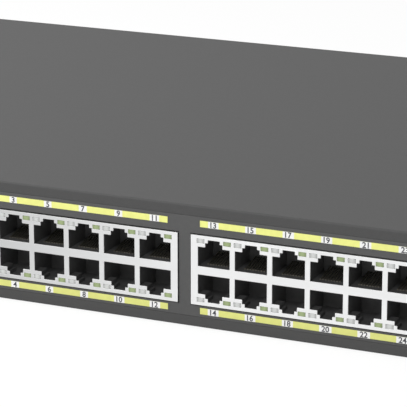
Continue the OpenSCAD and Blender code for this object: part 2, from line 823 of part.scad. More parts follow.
module rear_panel() {
    hole_d = screw_d + 2 * screw_fit;
    color("dimgray") difference() {
        translate([0, rear_y, sheet_t]) mirror([0, 1, 0]) along_x(base_w)
            corner_profile(rear_flange, rear_top - sheet_t, sheet_t, bend_r);
        translate([0, inner_rear_y - cut, 0]) along_y(sheet_t + 2 * cut) {
            for (x = fan_x)
                translate([x, fan_z]) {
                    grille_rings_cut();
                    fan_corners() circle(d = hole_d);
                }
            for (x = tab_x)
                translate([x, tab_screw_z]) circle(d = hole_d);
            for (x = inlet_screw_x)
                translate([x, inlet_z]) circle(d = hole_d);
            translate([inlet_x - ground_gap, ground_z]) circle(d = ear_screw_d + 2 * screw_fit);
            translate([inlet_x, inlet_z])
                square([inlet_body_w + 2 * sheet_fit, inlet_body_h + 2 * sheet_fit], center = true);
        }
    }
}

// Rows of ventilation slots, seen from the side
module vent_slots()
    for (col = [0:vent_cols - 1], row = [0:vent_rows - 1])
        translate([vent_front + col * vent_pitch_y, vent_z + (row - (vent_rows - 1) / 2) * vent_pitch_z])
            obround(vent_w, vent_l);

module top_cover() {
    side_h = chassis_h - sheet_fit;
    color("gray") difference() {
        union() {
            difference() {
                translate([0, 0, sheet_fit]) intersection() {
                    along_y(chassis_d) top_rounded(chassis_w, side_h, bend_r);
                    along_x(chassis_w) translate([chassis_d / 2, 0]) top_rounded(chassis_d, side_h, bend_r);
                }
                translate([0, -cut, -cut]) slab(inner_w, chassis_d + 2 * cut, chassis_h - sheet_t + cut);
            }
            translate([0, 0, chassis_h - lip_h]) along_x(inner_w) fold_profile(lip_d, lip_h, seam_r, bend_r);
            for (x = tab_x)
                translate([x, chassis_d - sheet_t, chassis_h - tab_h]) slab(tab_w, sheet_t, tab_h - bend_r);
        }
        side_screw_holes();
        ear_screw_holes();
        along_x(chassis_w + 2 * cut) vent_slots();
        for (x = tab_x)
            translate([x, chassis_d, tab_screw_z]) rotate([90, 0, 0])
                cylinder(d = screw_d + 2 * screw_fit, h = 2 * sheet_t + cut, center = true);
    }
}

module rack_ear_right() {
    color("dimgray") difference() {
        intersection() {
            translate([side_x, 0, ear_gap]) linear_extrude(ear_h)
                corner_profile(ear_reach, ear_side_l, ear_t, ear_r);
            translate([0, -cut, chassis_h / 2]) along_y(ear_side_l + 2 * cut)
                rounded_rect(rack_w, ear_h, ear_r);
        }
        for (s = [-1, 1])
            translate([slot_pitch_x / 2, -cut, chassis_h / 2 + s * slot_pitch_z / 2])
                along_y(ear_t + 2 * cut) obround(slot_l, slot_w);
        ear_screw_holes();
    }
}

module rack_ear_left() mirror([1, 0, 0]) rack_ear_right();

module ear_screws_right()
    for (y = ear_screw_y, z = ear_screw_z)
        translate([side_x + ear_t, y, z]) rotate([0, 0, 90])
            screw(ear_screw_d, ear_t + sheet_t + ear_screw_reach, ear_screw_head_d, ear_screw_head_h);

module ear_screws() {
    color("silver") {
        ear_screws_right();
        mirror([1, 0, 0]) ear_screws_right();
    }
}

module side_screws_right()
    for (y = side_screw_y)
        translate([side_x, y, side_screw_z]) rotate([0, 0, 90]) chassis_screw(sheet_t);

module cover_screws() {
    color("silver") {
        side_screws_right();
        mirror([1, 0, 0]) side_screws_right();
        for (x = tab_x)
            translate([x, chassis_d, tab_screw_z]) rotate([0, 0, 180]) chassis_screw(sheet_t);
    }
}

module port_strips() {
    color("khaki")
        for (x = strip_x, z = strip_z)
            translate([x, -strip_t, z]) slab(strip_l, strip_t, strip_h);
}

// Outline of a jack opening: the plug's body, its latch and the latch's tip; the block's middle is at zero
module jack_outline() {
    translate([-port_w / 2, port_web]) square([port_w, port_shoulder - port_web]);
    translate([-latch_w / 2, port_web]) square([latch_w, latch_top - port_web]);
    translate([-tip_w / 2, port_web]) square([tip_w, tip_top - port_web]);
}

// Room for a plug: its outline through the front wall, and the full width behind it, where the latch hooks in
module jack_room() {
    along_y(port_d + cut) jack_outline();
    translate([0, catch_d + cut, 0]) along_y(port_d - catch_d)
        translate([-port_w / 2, port_web]) square([port_w, tip_top - port_web]);
}

// Every port of a block, the lower row turned upside down
module each_port()
    for (col = [0:port_cols - 1], row = [0, 1])
        translate([(col - (port_cols - 1) / 2) * port_pitch, 0, 0]) rotate([0, row * 180, 0]) children();

// Windows of a port's two lamps
module lamp_windows()
    for (side = [-1, 1])
        translate([side * lamp_x, lamp_z])
            square([lamp_w + 2 * part_fit, lamp_h + 2 * part_fit], center = true);

// Metal box round a jack, open towards the board
module shield_box(w, d, h) {
    difference() {
        translate([0, -shield_proud, 0]) slab(w, d + shield_proud, h);
        translate([0, mouth_y, -cut]) slab(w - 2 * shield_t, d - shield_t - mouth_y, h - shield_t + cut);
    }
}

// Plastic block that fills a shield
module housing_block(w, d, h)
    translate([0, mouth_y, 0])
        slab(w - 2 * (shield_t + part_fit), d - shield_t - part_fit - mouth_y, h - shield_t - part_fit);

module jack_shield(x) {
    color("gainsboro") difference() {
        translate([x, 0, board_top]) shield_box(block_w, block_d, block_h);
        translate([x, mouth_y - shield_t - cut, block_z]) each_port() along_y(shield_t + 2 * cut) {
            jack_outline();
            lamp_windows();
        }
    }
}

module jack_housing(x) {
    color("black") difference() {
        translate([x, 0, board_top]) housing_block(block_w, block_d, block_h);
        translate([x, mouth_y - cut, block_z]) each_port() {
            jack_room();
            along_y(lamp_pocket_d + cut) lamp_windows();
        }
    }
}

// Row of sprung contacts that rise from the floor of a jack to its back
module contact_row()
    for (i = [0:contact_count - 1])
        translate([(i - (contact_count - 1) / 2) * contact_pitch, mouth_y, port_web]) along_x(contact_w)
            polygon([
                [contact_front, 0],
                [contact_front + contact_foot, 0],
                [port_d, contact_rise - contact_t],
                [port_d, contact_rise],
                [contact_front + contact_foot, contact_t],
                [contact_front, contact_t]
            ]);

module jack_contacts(x) {
    color("gold") translate([x, 0, block_z]) each_port() contact_row();
}

// Lamps on one side of every port
module port_lamps(side)
    for (x = block_x, col = [0:port_cols - 1], row = [-1, 1])
        translate([
            x + (col - (port_cols - 1) / 2) * port_pitch + side * lamp_x,
            -shield_proud,
            block_z + row * lamp_z - lamp_h / 2
        ]) slab(lamp_w, lamp_l, lamp_h);

module link_lamps() color("yellowgreen") port_lamps(1);

module activity_lamps() color("lightgray") port_lamps(-1);

module uplink_cage() {
    color("silver") translate([cage_x, -shield_proud, board_top]) difference() {
        slab(cage_block_w, cage_d + shield_proud, cage_block_h);
        for (x = cage_col_x, z = cage_row_z)
            translate([x, -cut, z]) slab(cage_w, cage_d + shield_proud - cage_t + cut, cage_h);
        translate([0, cage_t, cage_web_z]) slab(cage_block_w - 2 * cage_t, cage_d + shield_proud, cage_web);
        for (x = uplink_lamp_x)
            translate([x, -cut, cage_web_z + (cage_web - uplink_lamp_h) / 2 - part_fit])
                slab(uplink_lamp_w + 2 * part_fit, cage_t + 2 * cut, uplink_lamp_h + 2 * part_fit);
    }
}

module edge_connectors() {
    color("black")
        for (x = cage_col_x, z = cage_row_z)
            translate([cage_x + x, cage_d - cage_t - edge_connector_l, board_top + z]) difference() {
                slab(edge_connector_w, edge_connector_l, edge_connector_h);
                translate([0, -cut, (edge_connector_h - edge_slot_h) / 2])
                    slab(edge_connector_w - 2 * edge_slot_wall, edge_slot_d + cut, edge_slot_h);
            }
}

module uplink_lamps() {
    color("lightgray")
        for (x = uplink_lamp_x)
            translate([cage_x + x, -shield_proud, board_top + cage_web_z + (cage_web - uplink_lamp_h) / 2])
                slab(uplink_lamp_w, lamp_l, uplink_lamp_h);
}

module console_shield() {
    color("gainsboro") difference() {
        translate([console_x, 0, board_top]) shield_box(console_w, console_d, console_h);
        translate([console_x, mouth_y - shield_t - cut, console_z])
            along_y(shield_t + 2 * cut) jack_outline();
    }
}

module console_housing() {
    color("black") difference() {
        translate([console_x, 0, board_top]) housing_block(console_w, console_d, console_h);
        translate([console_x, mouth_y - cut, console_z]) jack_room();
    }
}

module console_contacts() color("gold") translate([console_x, 0, console_z]) contact_row();

// Each light pipe runs back from the front face and turns down to the board
module status_light_pipes() {
    color("lightgray")
        for (i = [-1:1]) {
            pipe_z = block_z + i * status_pitch;
            leg_y = sheet_t + pipe_leg_gap + (i + 1) * pipe_leg_pitch;
            translate([status_x, -status_proud, pipe_z]) rotate([-90, 0, 0])
                cylinder(d = status_d, h = status_proud + leg_y + status_d);
            translate([status_x, leg_y, board_top]) slab(status_d, status_d, pipe_z - board_top);
        }
}

module reset_switch() {
    color("black") difference() {
        translate([reset_x, reset_body_y, board_top]) slab(reset_body_w, reset_body_d, reset_body_w);
        translate([reset_x, reset_body_y - cut, reset_z]) rotate([-90, 0, 0])
            cylinder(d = reset_d + 2 * plunger_fit, h = plunger_l + plunger_room + cut);
    }
}

module reset_button() {
    color("white") translate([reset_x, reset_recess, reset_z]) rotate([-90, 0, 0])
        cylinder(d = reset_d, h = reset_body_y + plunger_l - reset_recess);
}

// Circuit board with its screw holes
module board(x, y, w, d, screws_at) {
    difference() {
        translate([x, y, board_top - board_t]) slab(w, d, board_t);
        for (at = screws_at)
            translate([at[0], at[1], board_top - board_t - cut])
                cylinder(d = screw_d + 2 * screw_fit, h = board_t + 2 * cut);
    }
}

// Hexagonal standoffs under a board
module standoffs(screws_at)
    for (at = screws_at)
        translate([at[0], at[1], sheet_t]) difference() {
            cylinder(d = standoff_d, h = standoff_h, $fn = 6);
            translate([0, 0, standoff_h - screw_reach - cut])
                cylinder(d = screw_d + 2 * screw_fit, h = screw_reach + 2 * cut);
        }

// Screws that hold a board on its standoffs
module standoff_screws(screws_at)
    for (at = screws_at)
        translate([at[0], at[1], board_top]) rotate([-90, 0, 0]) chassis_screw(board_t);

module main_board() color("darkgreen") board(0, board_y, board_w, board_d, board_screws_at);

module board_standoffs() color("tan") standoffs(board_screws_at);

module board_screws() color("silver") standoff_screws(board_screws_at);

module magnetics() {
    color("black")
        for (x = block_x, i = [0:magnetics_count - 1])
            translate([
                x + (i - (magnetics_count - 1) / 2) * magnetics_pitch,
                block_d + magnetics_gap,
                board_top
            ]) slab(magnetics_w, magnetics_d, magnetics_h);
}

// Chip on the main board
module chip(x, w) translate([x, chip_y - w / 2, board_top]) slab(w, w, chip_h);

// Finned heat sink on top of a chip, with its fins along the airflow
module heat_sink(x, w, h) {
    fin_pitch = (w - fin_t) / (sink_fins - 1);
    translate([x, chip_y - w / 2, board_top + chip_h]) {
        slab(w, w, sink_base);
        for (i = [0:sink_fins - 1])
            translate([-w / 2 + i * fin_pitch, 0, sink_base]) cube([fin_t, w, h - sink_base]);
    }
}

module switch_chip() color("black") chip(0, chip_w);

module switch_heat_sink() color("silver") heat_sink(0, sink_w, sink_h);

module power_controllers() {
    color("black")
        for (x = poe_x)
            chip(x, poe_w);
}

module controller_heat_sinks() {
    color("silver")
        for (x = poe_x)
            heat_sink(x, poe_sink_w, poe_sink_h);
}

// Can capacitor with a crimp near its foot
module can_capacitor(d, h) {
    rotate_extrude() difference() {
        square([d / 2, h]);
        translate([d / 2 - crimp_depth, crimp_z]) square([d, crimp_h]);
    }
}

module board_capacitors() {
    color("midnightblue")
        for (i = [0:cap_count - 1])
            translate([-cap_gap - i * cap_pitch, chip_y, board_top]) can_capacitor(cap_d, cap_h);
}

module board_headers() {
    color("ivory") {
        for (x = [psu_header_x, fan_x[0], fan_x[1]])
            translate([x, header_y, board_top]) slab(header_w, header_d, header_h);
        translate([psu_header_x, psu_header_y, board_top]) slab(header_w, header_d, header_h);
    }
}

module psu_board() color("darkgoldenrod") board(psu_x, psu_y - psu_d / 2, psu_w, psu_d, psu_screws_at);

module psu_standoffs() color("tan") standoffs(psu_screws_at);

module psu_screws() color("silver") standoff_screws(psu_screws_at);

module psu_insulator() {
    color("whitesmoke") difference() {
        translate([psu_x, psu_y - psu_d / 2 + insulator_inset, sheet_t])
            slab(psu_w - 2 * insulator_inset, psu_d - 2 * insulator_inset, insulator_t);
        for (at = psu_screws_at)
            translate([at[0], at[1], sheet_t - cut])
                cylinder(d = standoff_d + 2 * insulator_fit, h = insulator_t + 2 * cut);
    }
}

module transformer_core() {
    color("dimgray") translate([transformer_at[0], transformer_at[1] - core_d / 2, board_top]) difference() {
        slab(core_w, core_d, core_h);
        for (side = [-1, 1])
            translate([side * (core_middle + window_w) / 2, -cut, core_limb])
                slab(window_w, core_d + 2 * cut, window_h);
    }
}

module transformer_winding() {
    coil_w = core_middle + 2 * (window_w - winding_fit);
    coil_h = window_h - 2 * winding_fit;
    color("goldenrod") translate([transformer_at[0], transformer_at[1], board_top + core_limb + winding_fit])
        linear_extrude(coil_h) difference() {
            rounded_rect(coil_w, core_d + 2 * winding_proud, winding_proud);
            square([core_middle + 2 * winding_fit, core_d + 2 * winding_fit], center = true);
        }
}

module bulk_capacitors() {
    color("midnightblue")
        for (i = [0, 1])
            translate([psu_x + bulk_u + i * bulk_pitch, psu_y + bulk_v, board_top])
                can_capacitor(bulk_d, bulk_h);
}

module psu_heat_sinks() {
    fin_pitch = (psu_sink_l - fin_t) / (sink_fins - 1);
    color("silver")
        for (v = [-1, 1])
            translate([psu_x - psu_w / 2 + psu_sink_inset, psu_y + v * psu_sink_v, board_top]) {
                translate([0, -psu_sink_t / 2, 0]) cube([psu_sink_l, psu_sink_t, psu_sink_h]);
                for (i = [0:sink_fins - 1])
                    translate([i * fin_pitch, v < 0 ? psu_sink_t / 2 : -psu_sink_t / 2 - psu_fin_d, 0])
                        cube([fin_t, psu_fin_d, psu_sink_h]);
            }
}

module line_choke() {
    color("firebrick") translate([psu_x + choke_u, psu_y + choke_v, board_top + choke_coil_d / 2 + part_fit])
        rotate_extrude() translate([(choke_d - choke_coil_d) / 2, 0]) circle(d = choke_coil_d);
}

// Outline of the inlet's socket, with its two upper corners cut off
module socket_outline()
    polygon([
        [-socket_w / 2, -socket_h / 2],
        [socket_w / 2, -socket_h / 2],
        [socket_w / 2, socket_h / 2 - socket_cut],
        [socket_w / 2 - socket_cut, socket_h / 2],
        [-socket_w / 2 + socket_cut, socket_h / 2],
        [-socket_w / 2, socket_h / 2 - socket_cut]
    ]);

module power_inlet() {
    color("black") difference() {
        union() {
            translate([inlet_x, rear_y, inlet_z]) along_y(inlet_flange_t)
                rounded_rect(inlet_flange_w, inlet_flange_h, inlet_flange_r);
            translate([inlet_x, rear_y - inlet_body_d, inlet_z - inlet_body_h / 2])
                slab(inlet_body_w, inlet_body_d, inlet_body_h);
        }
        translate([inlet_x, socket_floor_y, inlet_z]) along_y(socket_d + cut) socket_outline();
        for (x = inlet_screw_x)
            translate([x, rear_y - cut, inlet_z]) rotate([-90, 0, 0])
                cylinder(d = screw_d + 2 * screw_fit, h = inlet_flange_t + 2 * cut);
    }
}

module inlet_pins() {
    color("silver")
        for (i = [-1:1])
            translate([
                inlet_x + i * pin_pitch / 2,
                socket_floor_y,
                inlet_z + (i == 0 ? pin_rise : -pin_rise) / 2 - pin_h / 2
            ]) slab(pin_w, pin_l, pin_h);
}

module inlet_screws() {
    color("silver")
        for (x = inlet_screw_x)
            translate([x, rear_y + inlet_flange_t, inlet_z]) rotate([0, 0, 180])
                chassis_screw(inlet_flange_t + sheet_t);
}

module ground_screw() {
    color("gold") translate([inlet_x - ground_gap, rear_y, ground_z]) rotate([0, 0, 180])
        screw(ear_screw_d, sheet_t + ground_reach, ground_head_d, ear_screw_head_h);
}

module fan_frame(x) {
    color("black") translate([x, fan_y, fan_z]) difference() {
        union() {
            along_y(fan_d) difference() {
                rounded_rect(fan_w, fan_w, fan_corner_r);
                circle(d = fan_bore_d);
                fan_corners() circle(d = screw_d + 2 * screw_fit);
            }
            along_y(mount_t) {
                circle(d = hub_d);
                for (turn = [0, 90])
                    rotate(turn) square([fan_bore_d + 2 * blade_fit, strut_w], center = true);
            }
            along_y(hub_floor_y - bearing_gap) circle(d = bearing_d);
        }
        translate([0, -cut, 0]) along_y(fan_d + cut) circle(d = shaft_d + 2 * shaft_fit);
    }
}

// Curved section of a blade, seen from its tip
module blade_section() {
    tip_x = sqrt(pow(blade_curve_r, 2) - pow(blade_dip, 2));
    tail_x = sqrt(pow(blade_curve_r, 2) - pow(blade_dip + blade_l, 2));
    translate([-(tip_x + tail_x) / 2, -blade_dip]) intersection() {
        difference() {
            circle(blade_curve_r);
            circle(blade_curve_r - blade_t);
        }
        translate([0, blade_dip]) square([blade_curve_r, blade_l]);
    }
}

module fan_rotor(x) {
    color("dimgray") translate([x, fan_y, fan_z]) {
        difference() {
            union() {
                translate([0, hub_y, 0]) along_y(hub_l) circle(d = hub_d);
                intersection() {
                    for (i = [0:blade_count - 1])
                        rotate([0, i * 360 / blade_count, 0]) translate([0, hub_y + hub_gap, hub_d / 4])
                            linear_extrude(blade_r) blade_section();
                    along_y(fan_d) circle(blade_r);
                }
            }
            translate([0, hub_y - cut, 0]) along_y(hub_l - hub_wall + cut) circle(hub_d / 2 - hub_wall);
        }
        translate([0, mount_t, 0]) along_y(hub_floor_y - mount_t) circle(d = shaft_d);
    }
}

module fan_stators() {
    color("peru")
        for (x = fan_x)
            translate([x, fan_y + hub_y, fan_z]) along_y(stator_l) difference() {
                circle(hub_d / 2 - hub_wall - stator_gap);
                circle(bearing_d / 2 + part_fit);
                for (turn = [0, 90], s = [-1, 1])
                    rotate(turn) translate([s * hub_d / 2, 0])
                        square([hub_d / 2, stator_slot], center = true);
            }
}

module fan_screws() {
    color("silver")
        for (x = fan_x, sx = [-1, 1], sz = [-1, 1])
            translate([x + sx * fan_screw_pitch / 2, rear_y, fan_z + sz * fan_screw_pitch / 2])
                rotate([0, 0, 180]) chassis_screw(sheet_t);
}

// Quarter bend of a wire in the YZ plane, from one turn angle to the next
module wire_bend(start)
    rotate([90, 0, 90]) rotate(start) rotate_extrude(angle = 90)
        translate([wire_r, 0]) circle(d = wire_d);

// Wire that rises, runs back and comes down again
module wire_arch(span, rise) {
    for (y = [0, span])
        translate([0, y, 0]) cylinder(d = wire_d, h = rise - wire_r);
    translate([0, wire_r, rise - wire_r]) wire_bend(90);
    translate([0, span - wire_r, rise - wire_r]) wire_bend(0);
    translate([0, wire_r, rise]) rotate([-90, 0, 0]) cylinder(d = wire_d, h = span - 2 * wire_r);
}

// Wire that runs forward from the origin and turns down
module wire_drop(run, drop) {
    rotate([90, 0, 0]) cylinder(d = wire_d, h = run - wire_r);
    translate([0, wire_r - run, -wire_r]) wire_bend(90);
    translate([0, -run, -drop]) cylinder(d = wire_d, h = drop - wire_r);
}

module supply_wires() {
    color("crimson")
        for (i = [0:wire_count - 1])
            translate([
                psu_header_x + (i - (wire_count - 1) / 2) * wire_pitch,
                header_y + header_d / 2,
                board_top + header_h
            ]) wire_arch(psu_header_y - header_y, wire_rise);
}

module fan_leads() {
    color("black")
        for (x = fan_x)
            translate([x, fan_y, fan_z + lead_rise])
                wire_drop(fan_y - header_y - header_d / 2, fan_z + lead_rise - board_top - header_h);
}

module line_wires() {
    color("peru")
        for (i = [-1:1])
            translate([inlet_x + i * pin_pitch / 2, rear_y - inlet_body_d, inlet_z])
                wire_drop(line_run, inlet_z - board_top);
}

// The finished part stands with the middle of its outer box on the origin
module placed() translate([0, y_shift, 0]) children();

placed() base_pan();
placed() front_panel();
placed() rear_panel();
placed() top_cover();
placed() rack_ear_left();
placed() rack_ear_right();
placed() ear_screws();
placed() cover_screws();
placed() port_strips();
placed() jack_shield(block_x[0]);  // jack_shield_left
placed() jack_shield(block_x[1]);  // jack_shield_right
placed() jack_housing(block_x[0]);  // jack_housing_left
placed() jack_housing(block_x[1]);  // jack_housing_right
placed() jack_contacts(block_x[0]);  // jack_contacts_left
placed() jack_contacts(block_x[1]);  // jack_contacts_right
placed() link_lamps();
placed() activity_lamps();
placed() uplink_cage();
placed() edge_connectors();
placed() uplink_lamps();
placed() console_shield();
placed() console_housing();
placed() console_contacts();
placed() status_light_pipes();
placed() reset_switch();
placed() reset_button();
placed() main_board();
placed() board_standoffs();
placed() board_screws();
placed() magnetics();
placed() switch_chip();
placed() switch_heat_sink();
placed() power_controllers();
placed() controller_heat_sinks();
placed() board_capacitors();
placed() board_headers();
placed() psu_board();
placed() psu_standoffs();
placed() psu_screws();
placed() psu_insulator();
placed() transformer_core();
placed() transformer_winding();
placed() bulk_capacitors();
placed() psu_heat_sinks();
placed() line_choke();
placed() power_inlet();
placed() inlet_pins();
placed() inlet_screws();
placed() ground_screw();
placed() fan_frame(fan_x[0]);  // fan_frame_left
placed() fan_frame(fan_x[1]);  // fan_frame_right
placed() fan_rotor(fan_x[0]);  // fan_rotor_left
placed() fan_rotor(fan_x[1]);  // fan_rotor_right
placed() fan_stators();
placed() fan_screws();
placed() supply_wires();
placed() fan_leads();
placed() line_wires();
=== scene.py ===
import json
import math

import bmesh
import bpy
from bpy.props import FloatProperty, FloatVectorProperty, PointerProperty
from mathutils import Matrix, Vector


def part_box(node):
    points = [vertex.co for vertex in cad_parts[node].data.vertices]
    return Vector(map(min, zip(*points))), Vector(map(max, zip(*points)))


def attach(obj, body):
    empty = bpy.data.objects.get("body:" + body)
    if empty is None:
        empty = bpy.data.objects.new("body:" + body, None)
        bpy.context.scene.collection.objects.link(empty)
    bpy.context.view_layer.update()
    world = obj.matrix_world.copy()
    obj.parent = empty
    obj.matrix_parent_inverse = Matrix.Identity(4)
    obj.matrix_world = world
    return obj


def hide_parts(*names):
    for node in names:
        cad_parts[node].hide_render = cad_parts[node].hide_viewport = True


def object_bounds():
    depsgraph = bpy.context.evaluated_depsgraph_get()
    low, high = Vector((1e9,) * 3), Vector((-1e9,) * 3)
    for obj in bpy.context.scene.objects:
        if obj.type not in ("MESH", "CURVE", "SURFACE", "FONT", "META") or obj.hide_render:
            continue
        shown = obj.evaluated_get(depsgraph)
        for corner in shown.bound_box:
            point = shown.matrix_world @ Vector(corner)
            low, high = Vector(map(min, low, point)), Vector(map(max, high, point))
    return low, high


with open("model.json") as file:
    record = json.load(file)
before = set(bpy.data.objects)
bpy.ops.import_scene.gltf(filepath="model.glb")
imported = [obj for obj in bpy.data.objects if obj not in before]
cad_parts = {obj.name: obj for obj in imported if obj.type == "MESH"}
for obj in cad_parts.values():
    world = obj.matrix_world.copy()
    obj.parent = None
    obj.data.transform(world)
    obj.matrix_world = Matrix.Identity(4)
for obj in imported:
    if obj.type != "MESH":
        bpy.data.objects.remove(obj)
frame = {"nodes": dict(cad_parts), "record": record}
CAD_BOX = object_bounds()

bl_info = {
    "name": "Rackmount Network Switch",
    "version": (1, 0, 0),
    "blender": (4, 5, 0),
    "location": "3D View > Sidebar > Switch",
    "description": "Finishes the pieces of a one-unit rackmount network switch",
    "category": "Object",
}

RECORD = frame["record"]
BODY_OF = {node: body for body, nodes in RECORD["behaviour"]["bodies"].items() for node in nodes}
CHASSIS = BODY_OF["base_pan"]

# Points of a node closer than this are one point
MERGE = 1e-6
# Faces that meet at a smaller angle than this are one flat face
FLAT = math.radians(0.5)
# Edges sharper than this get a rounding
SHARP = math.radians(28)
# Faces that meet at a smaller angle than this are shaded as one curve
SMOOTH = math.radians(50)
# Steps across a rounded edge, the front edge of a lens and the corner of a lens
EDGE_STEPS = 2
FRONT_STEPS = 3
CORNER_STEPS = 4
# Steps on each curve of a printed number
NUMBER_STEPS = 4
# Sides of the round floor
FLOOR_SIDES = 64
# Decimals of a metre to which places along the front are told apart
DECIMALS = 6
# Places of the cuts that carry a lens's shading, from its left end to its right end
LENS_CUTS = (0.12, 0.3, 0.5, 0.7, 0.88)
# Where a lens's painted shade starts and where it is darkest, from its middle to its ends
LENS_FADE_START = 0.25
LENS_FADE_END = 0.8
# The range that most values of a noise lie in
NOISE_LOW = 0.3
NOISE_HIGH = 0.7
# Size of the patches in which a coat is worn along its edges
WEAR_PATCH = 0.004
# Marks that a mesh carries for its finish: its rounded or cut edges, and a lens from middle to ends
RIM = "rim"
ACROSS = "across"


class SwitchSizes(bpy.types.PropertyGroup):
    """Roundings and printed sizes that the frame doesn't give"""

    sheet_edge: FloatProperty(
        name="Sheet edge",
        description="Rounding of the cut edges of the rear panel and the rack ears",
        default=0.00006,
        unit="LENGTH",
    )
    seam_edge: FloatProperty(
        name="Seam edge",
        description="Rounding of the sheets that meet in a hairline seam at the front",
        default=0.00001,
        unit="LENGTH",
    )
    plate_edge: FloatProperty(
        name="Plate edge",
        description="Rounding of the thin plated sheet's edges",
        default=0.0001,
        unit="LENGTH",
    )
    plate_cut: FloatProperty(
        name="Plate cut",
        description="Faces of the plated sheet that are narrower than this are its cut edges",
        default=0.0005,
        unit="LENGTH",
    )
    plastic_edge: FloatProperty(
        name="Plastic edge",
        description="Rounding of moulded plastic edges and of the inlet's pins",
        default=0.0002,
        unit="LENGTH",
    )
    fine_edge: FloatProperty(
        name="Fine edge",
        description="Rounding of thin moulded parts, such as fan blades",
        default=0.00006,
        unit="LENGTH",
    )
    lens_corner: FloatProperty(
        name="Lens corner",
        description="Rounding of the corners of a lamp lens",
        default=0.0004,
        unit="LENGTH",
    )
    lens_edge: FloatProperty(
        name="Lens edge",
        description="Rounding of the front edge of a lamp lens or light pipe",
        default=0.00015,
        unit="LENGTH",
    )
    screw_edge: FloatProperty(
        name="Screw edge",
        description="Rounding of the screw heads and their recesses",
        default=0.00012,
        unit="LENGTH",
    )
    # Painted light: the jacks' plastic gets paler over this depth, which lifts the shade deep in the
    # ports
    jack_fade: FloatProperty(
        name="Jack fade",
        description="Depth over which the jacks' plastic gets paler",
        default=0.014,
        unit="LENGTH",
    )
    number_h: FloatProperty(
        name="Number height",
        description="Height of the printed port numbers",
        default=0.0021,
        unit="LENGTH",
    )
    number_weight: FloatProperty(
        name="Number weight",
        description="Extra thickness of the numbers' strokes, as a share of the type's size",
        default=0.02,
        subtype="FACTOR",
    )
    number_margin: FloatProperty(
        name="Number margin",
        description="White space at each side of a printed number",
        default=0.0009,
        unit="LENGTH",
    )
    ink_t: FloatProperty(
        name="Ink thickness",
        description="Thickness of a printed layer",
        default=0.00003,
        unit="LENGTH",
    )


class SwitchColours(bpy.types.PropertyGroup):
    """Colours of the finishes, and the shares of them that are left where painted shade makes a finish
    darkest
    """

    cover_paint: FloatVectorProperty(
        name="Cover paint",
        description="Powder coat of the top cover",
        default=(0.0805, 0.0805, 0.0805),
        subtype="COLOR",
    )
    # Painted light: the cover's powder coat made lighter for the front panel
    panel_paint: FloatVectorProperty(
        name="Panel paint",
        description="Powder coat of the front panel",
        default=(0.103, 0.103, 0.103),
        subtype="COLOR",
    )
    # Painted shade: the front panel gets darker towards its foot
    panel_foot: FloatProperty(
        name="Panel foot",
        description="Share of the panel paint's colour that is left at the foot of the front panel",
        default=0.93,
        subtype="FACTOR",
    )
    # Painted shade: the cover's powder coat made darker for the base, the rear panel and the rack ears
    base_paint: FloatVectorProperty(
        name="Base paint",
        description="Powder coat of the base, the rear panel and the rack ears",
        default=(0.0774, 0.0774, 0.0774),
        subtype="COLOR",
    )
    left_plate: FloatVectorProperty(
        name="Left plating",
        description="Tin plating of the left jack shield",
        default=(0.815, 0.82, 0.82),
        subtype="COLOR",
    )
    # Painted shade: the left shield's plating gets darker towards its left end, a painted fall-off of
    # its reflection
    left_plate_end: FloatProperty(
        name="Left plating's end",
        description="Share of the left plating's colour that is left at the shield's left end",
        default=0.66,
        subtype="FACTOR",
    )
    right_plate: FloatVectorProperty(
        name="Right plating",
        description="Tin plating of the other shields and the uplink cage",
        default=(0.84, 0.845, 0.845),
        subtype="COLOR",
    )
    strip: FloatVectorProperty(
        name="Strip",
        description="Yellow print of the port strips",
        default=(0.87, 0.89, 0.27),
        subtype="COLOR",
    )
    # Painted shade: the lower strips get darker towards their foot
    strip_foot: FloatProperty(
        name="Strip foot",
        description="Share of the yellow that is left at the foot of the lower strips",
        default=0.84,
        subtype="FACTOR",
    )
    number_box: FloatVectorProperty(
        name="Number box",
        description="White print behind the port numbers",
        default=(0.90, 0.90, 0.89),
        subtype="COLOR",
    )
    number_ink: FloatVectorProperty(
        name="Number ink",
        description="Dark print of the port numbers",
        default=(0.06, 0.06, 0.07),
        subtype="COLOR",
    )
    green_lens: FloatVectorProperty(
        name="Green lens",
        description="Tinted lens of the link lamps",
        default=(0.33, 0.41, 0.20),
        subtype="COLOR",
    )
    # Painted highlight: the green lens is lighter in its middle and darker at its ends
    green_ends: FloatProperty(
        name="Green lens's ends",
        description="Share of the green lens's colour that is left at its ends",
        default=0.78,
        subtype="FACTOR",
    )
    clear_lens: FloatVectorProperty(
        name="Clear lens",
        description="Frosted lens of the other lamps and the light pipes",
        default=(0.62, 0.63, 0.62),
        subtype="COLOR",
    )
    # Painted highlight: the clear lens is lighter in its middle and darker at its ends
    clear_ends: FloatProperty(
        name="Clear lens's ends",
        description="Share of the clear lens's colour that is left at its ends",
        default=0.74,
        subtype="FACTOR",
    )
    # Painted light: the jacks' plastic is paler deep inside than at the mouth, which lifts the shade
    # deep in the ports
    jack_plastic: FloatVectorProperty(
        name="Jack plastic",
        description="Dark moulded plastic at the back of the jacks",
        default=(0.12, 0.12, 0.12),
        subtype="COLOR",
    )
    # Painted shade at the jacks' mouth, where the plastic is darkest
    jack_front: FloatProperty(
        name="Jack front",
        description="Share of the jack plastic's colour that is left at the front of the jacks",
        default=0.35,
        subtype="FACTOR",
    )
    black_plastic: FloatVectorProperty(
        name="Black plastic",
        description="Moulded plastic of the inlet, the fans and the reset switch",
        default=(0.027, 0.026, 0.025),
        subtype="COLOR",
    )


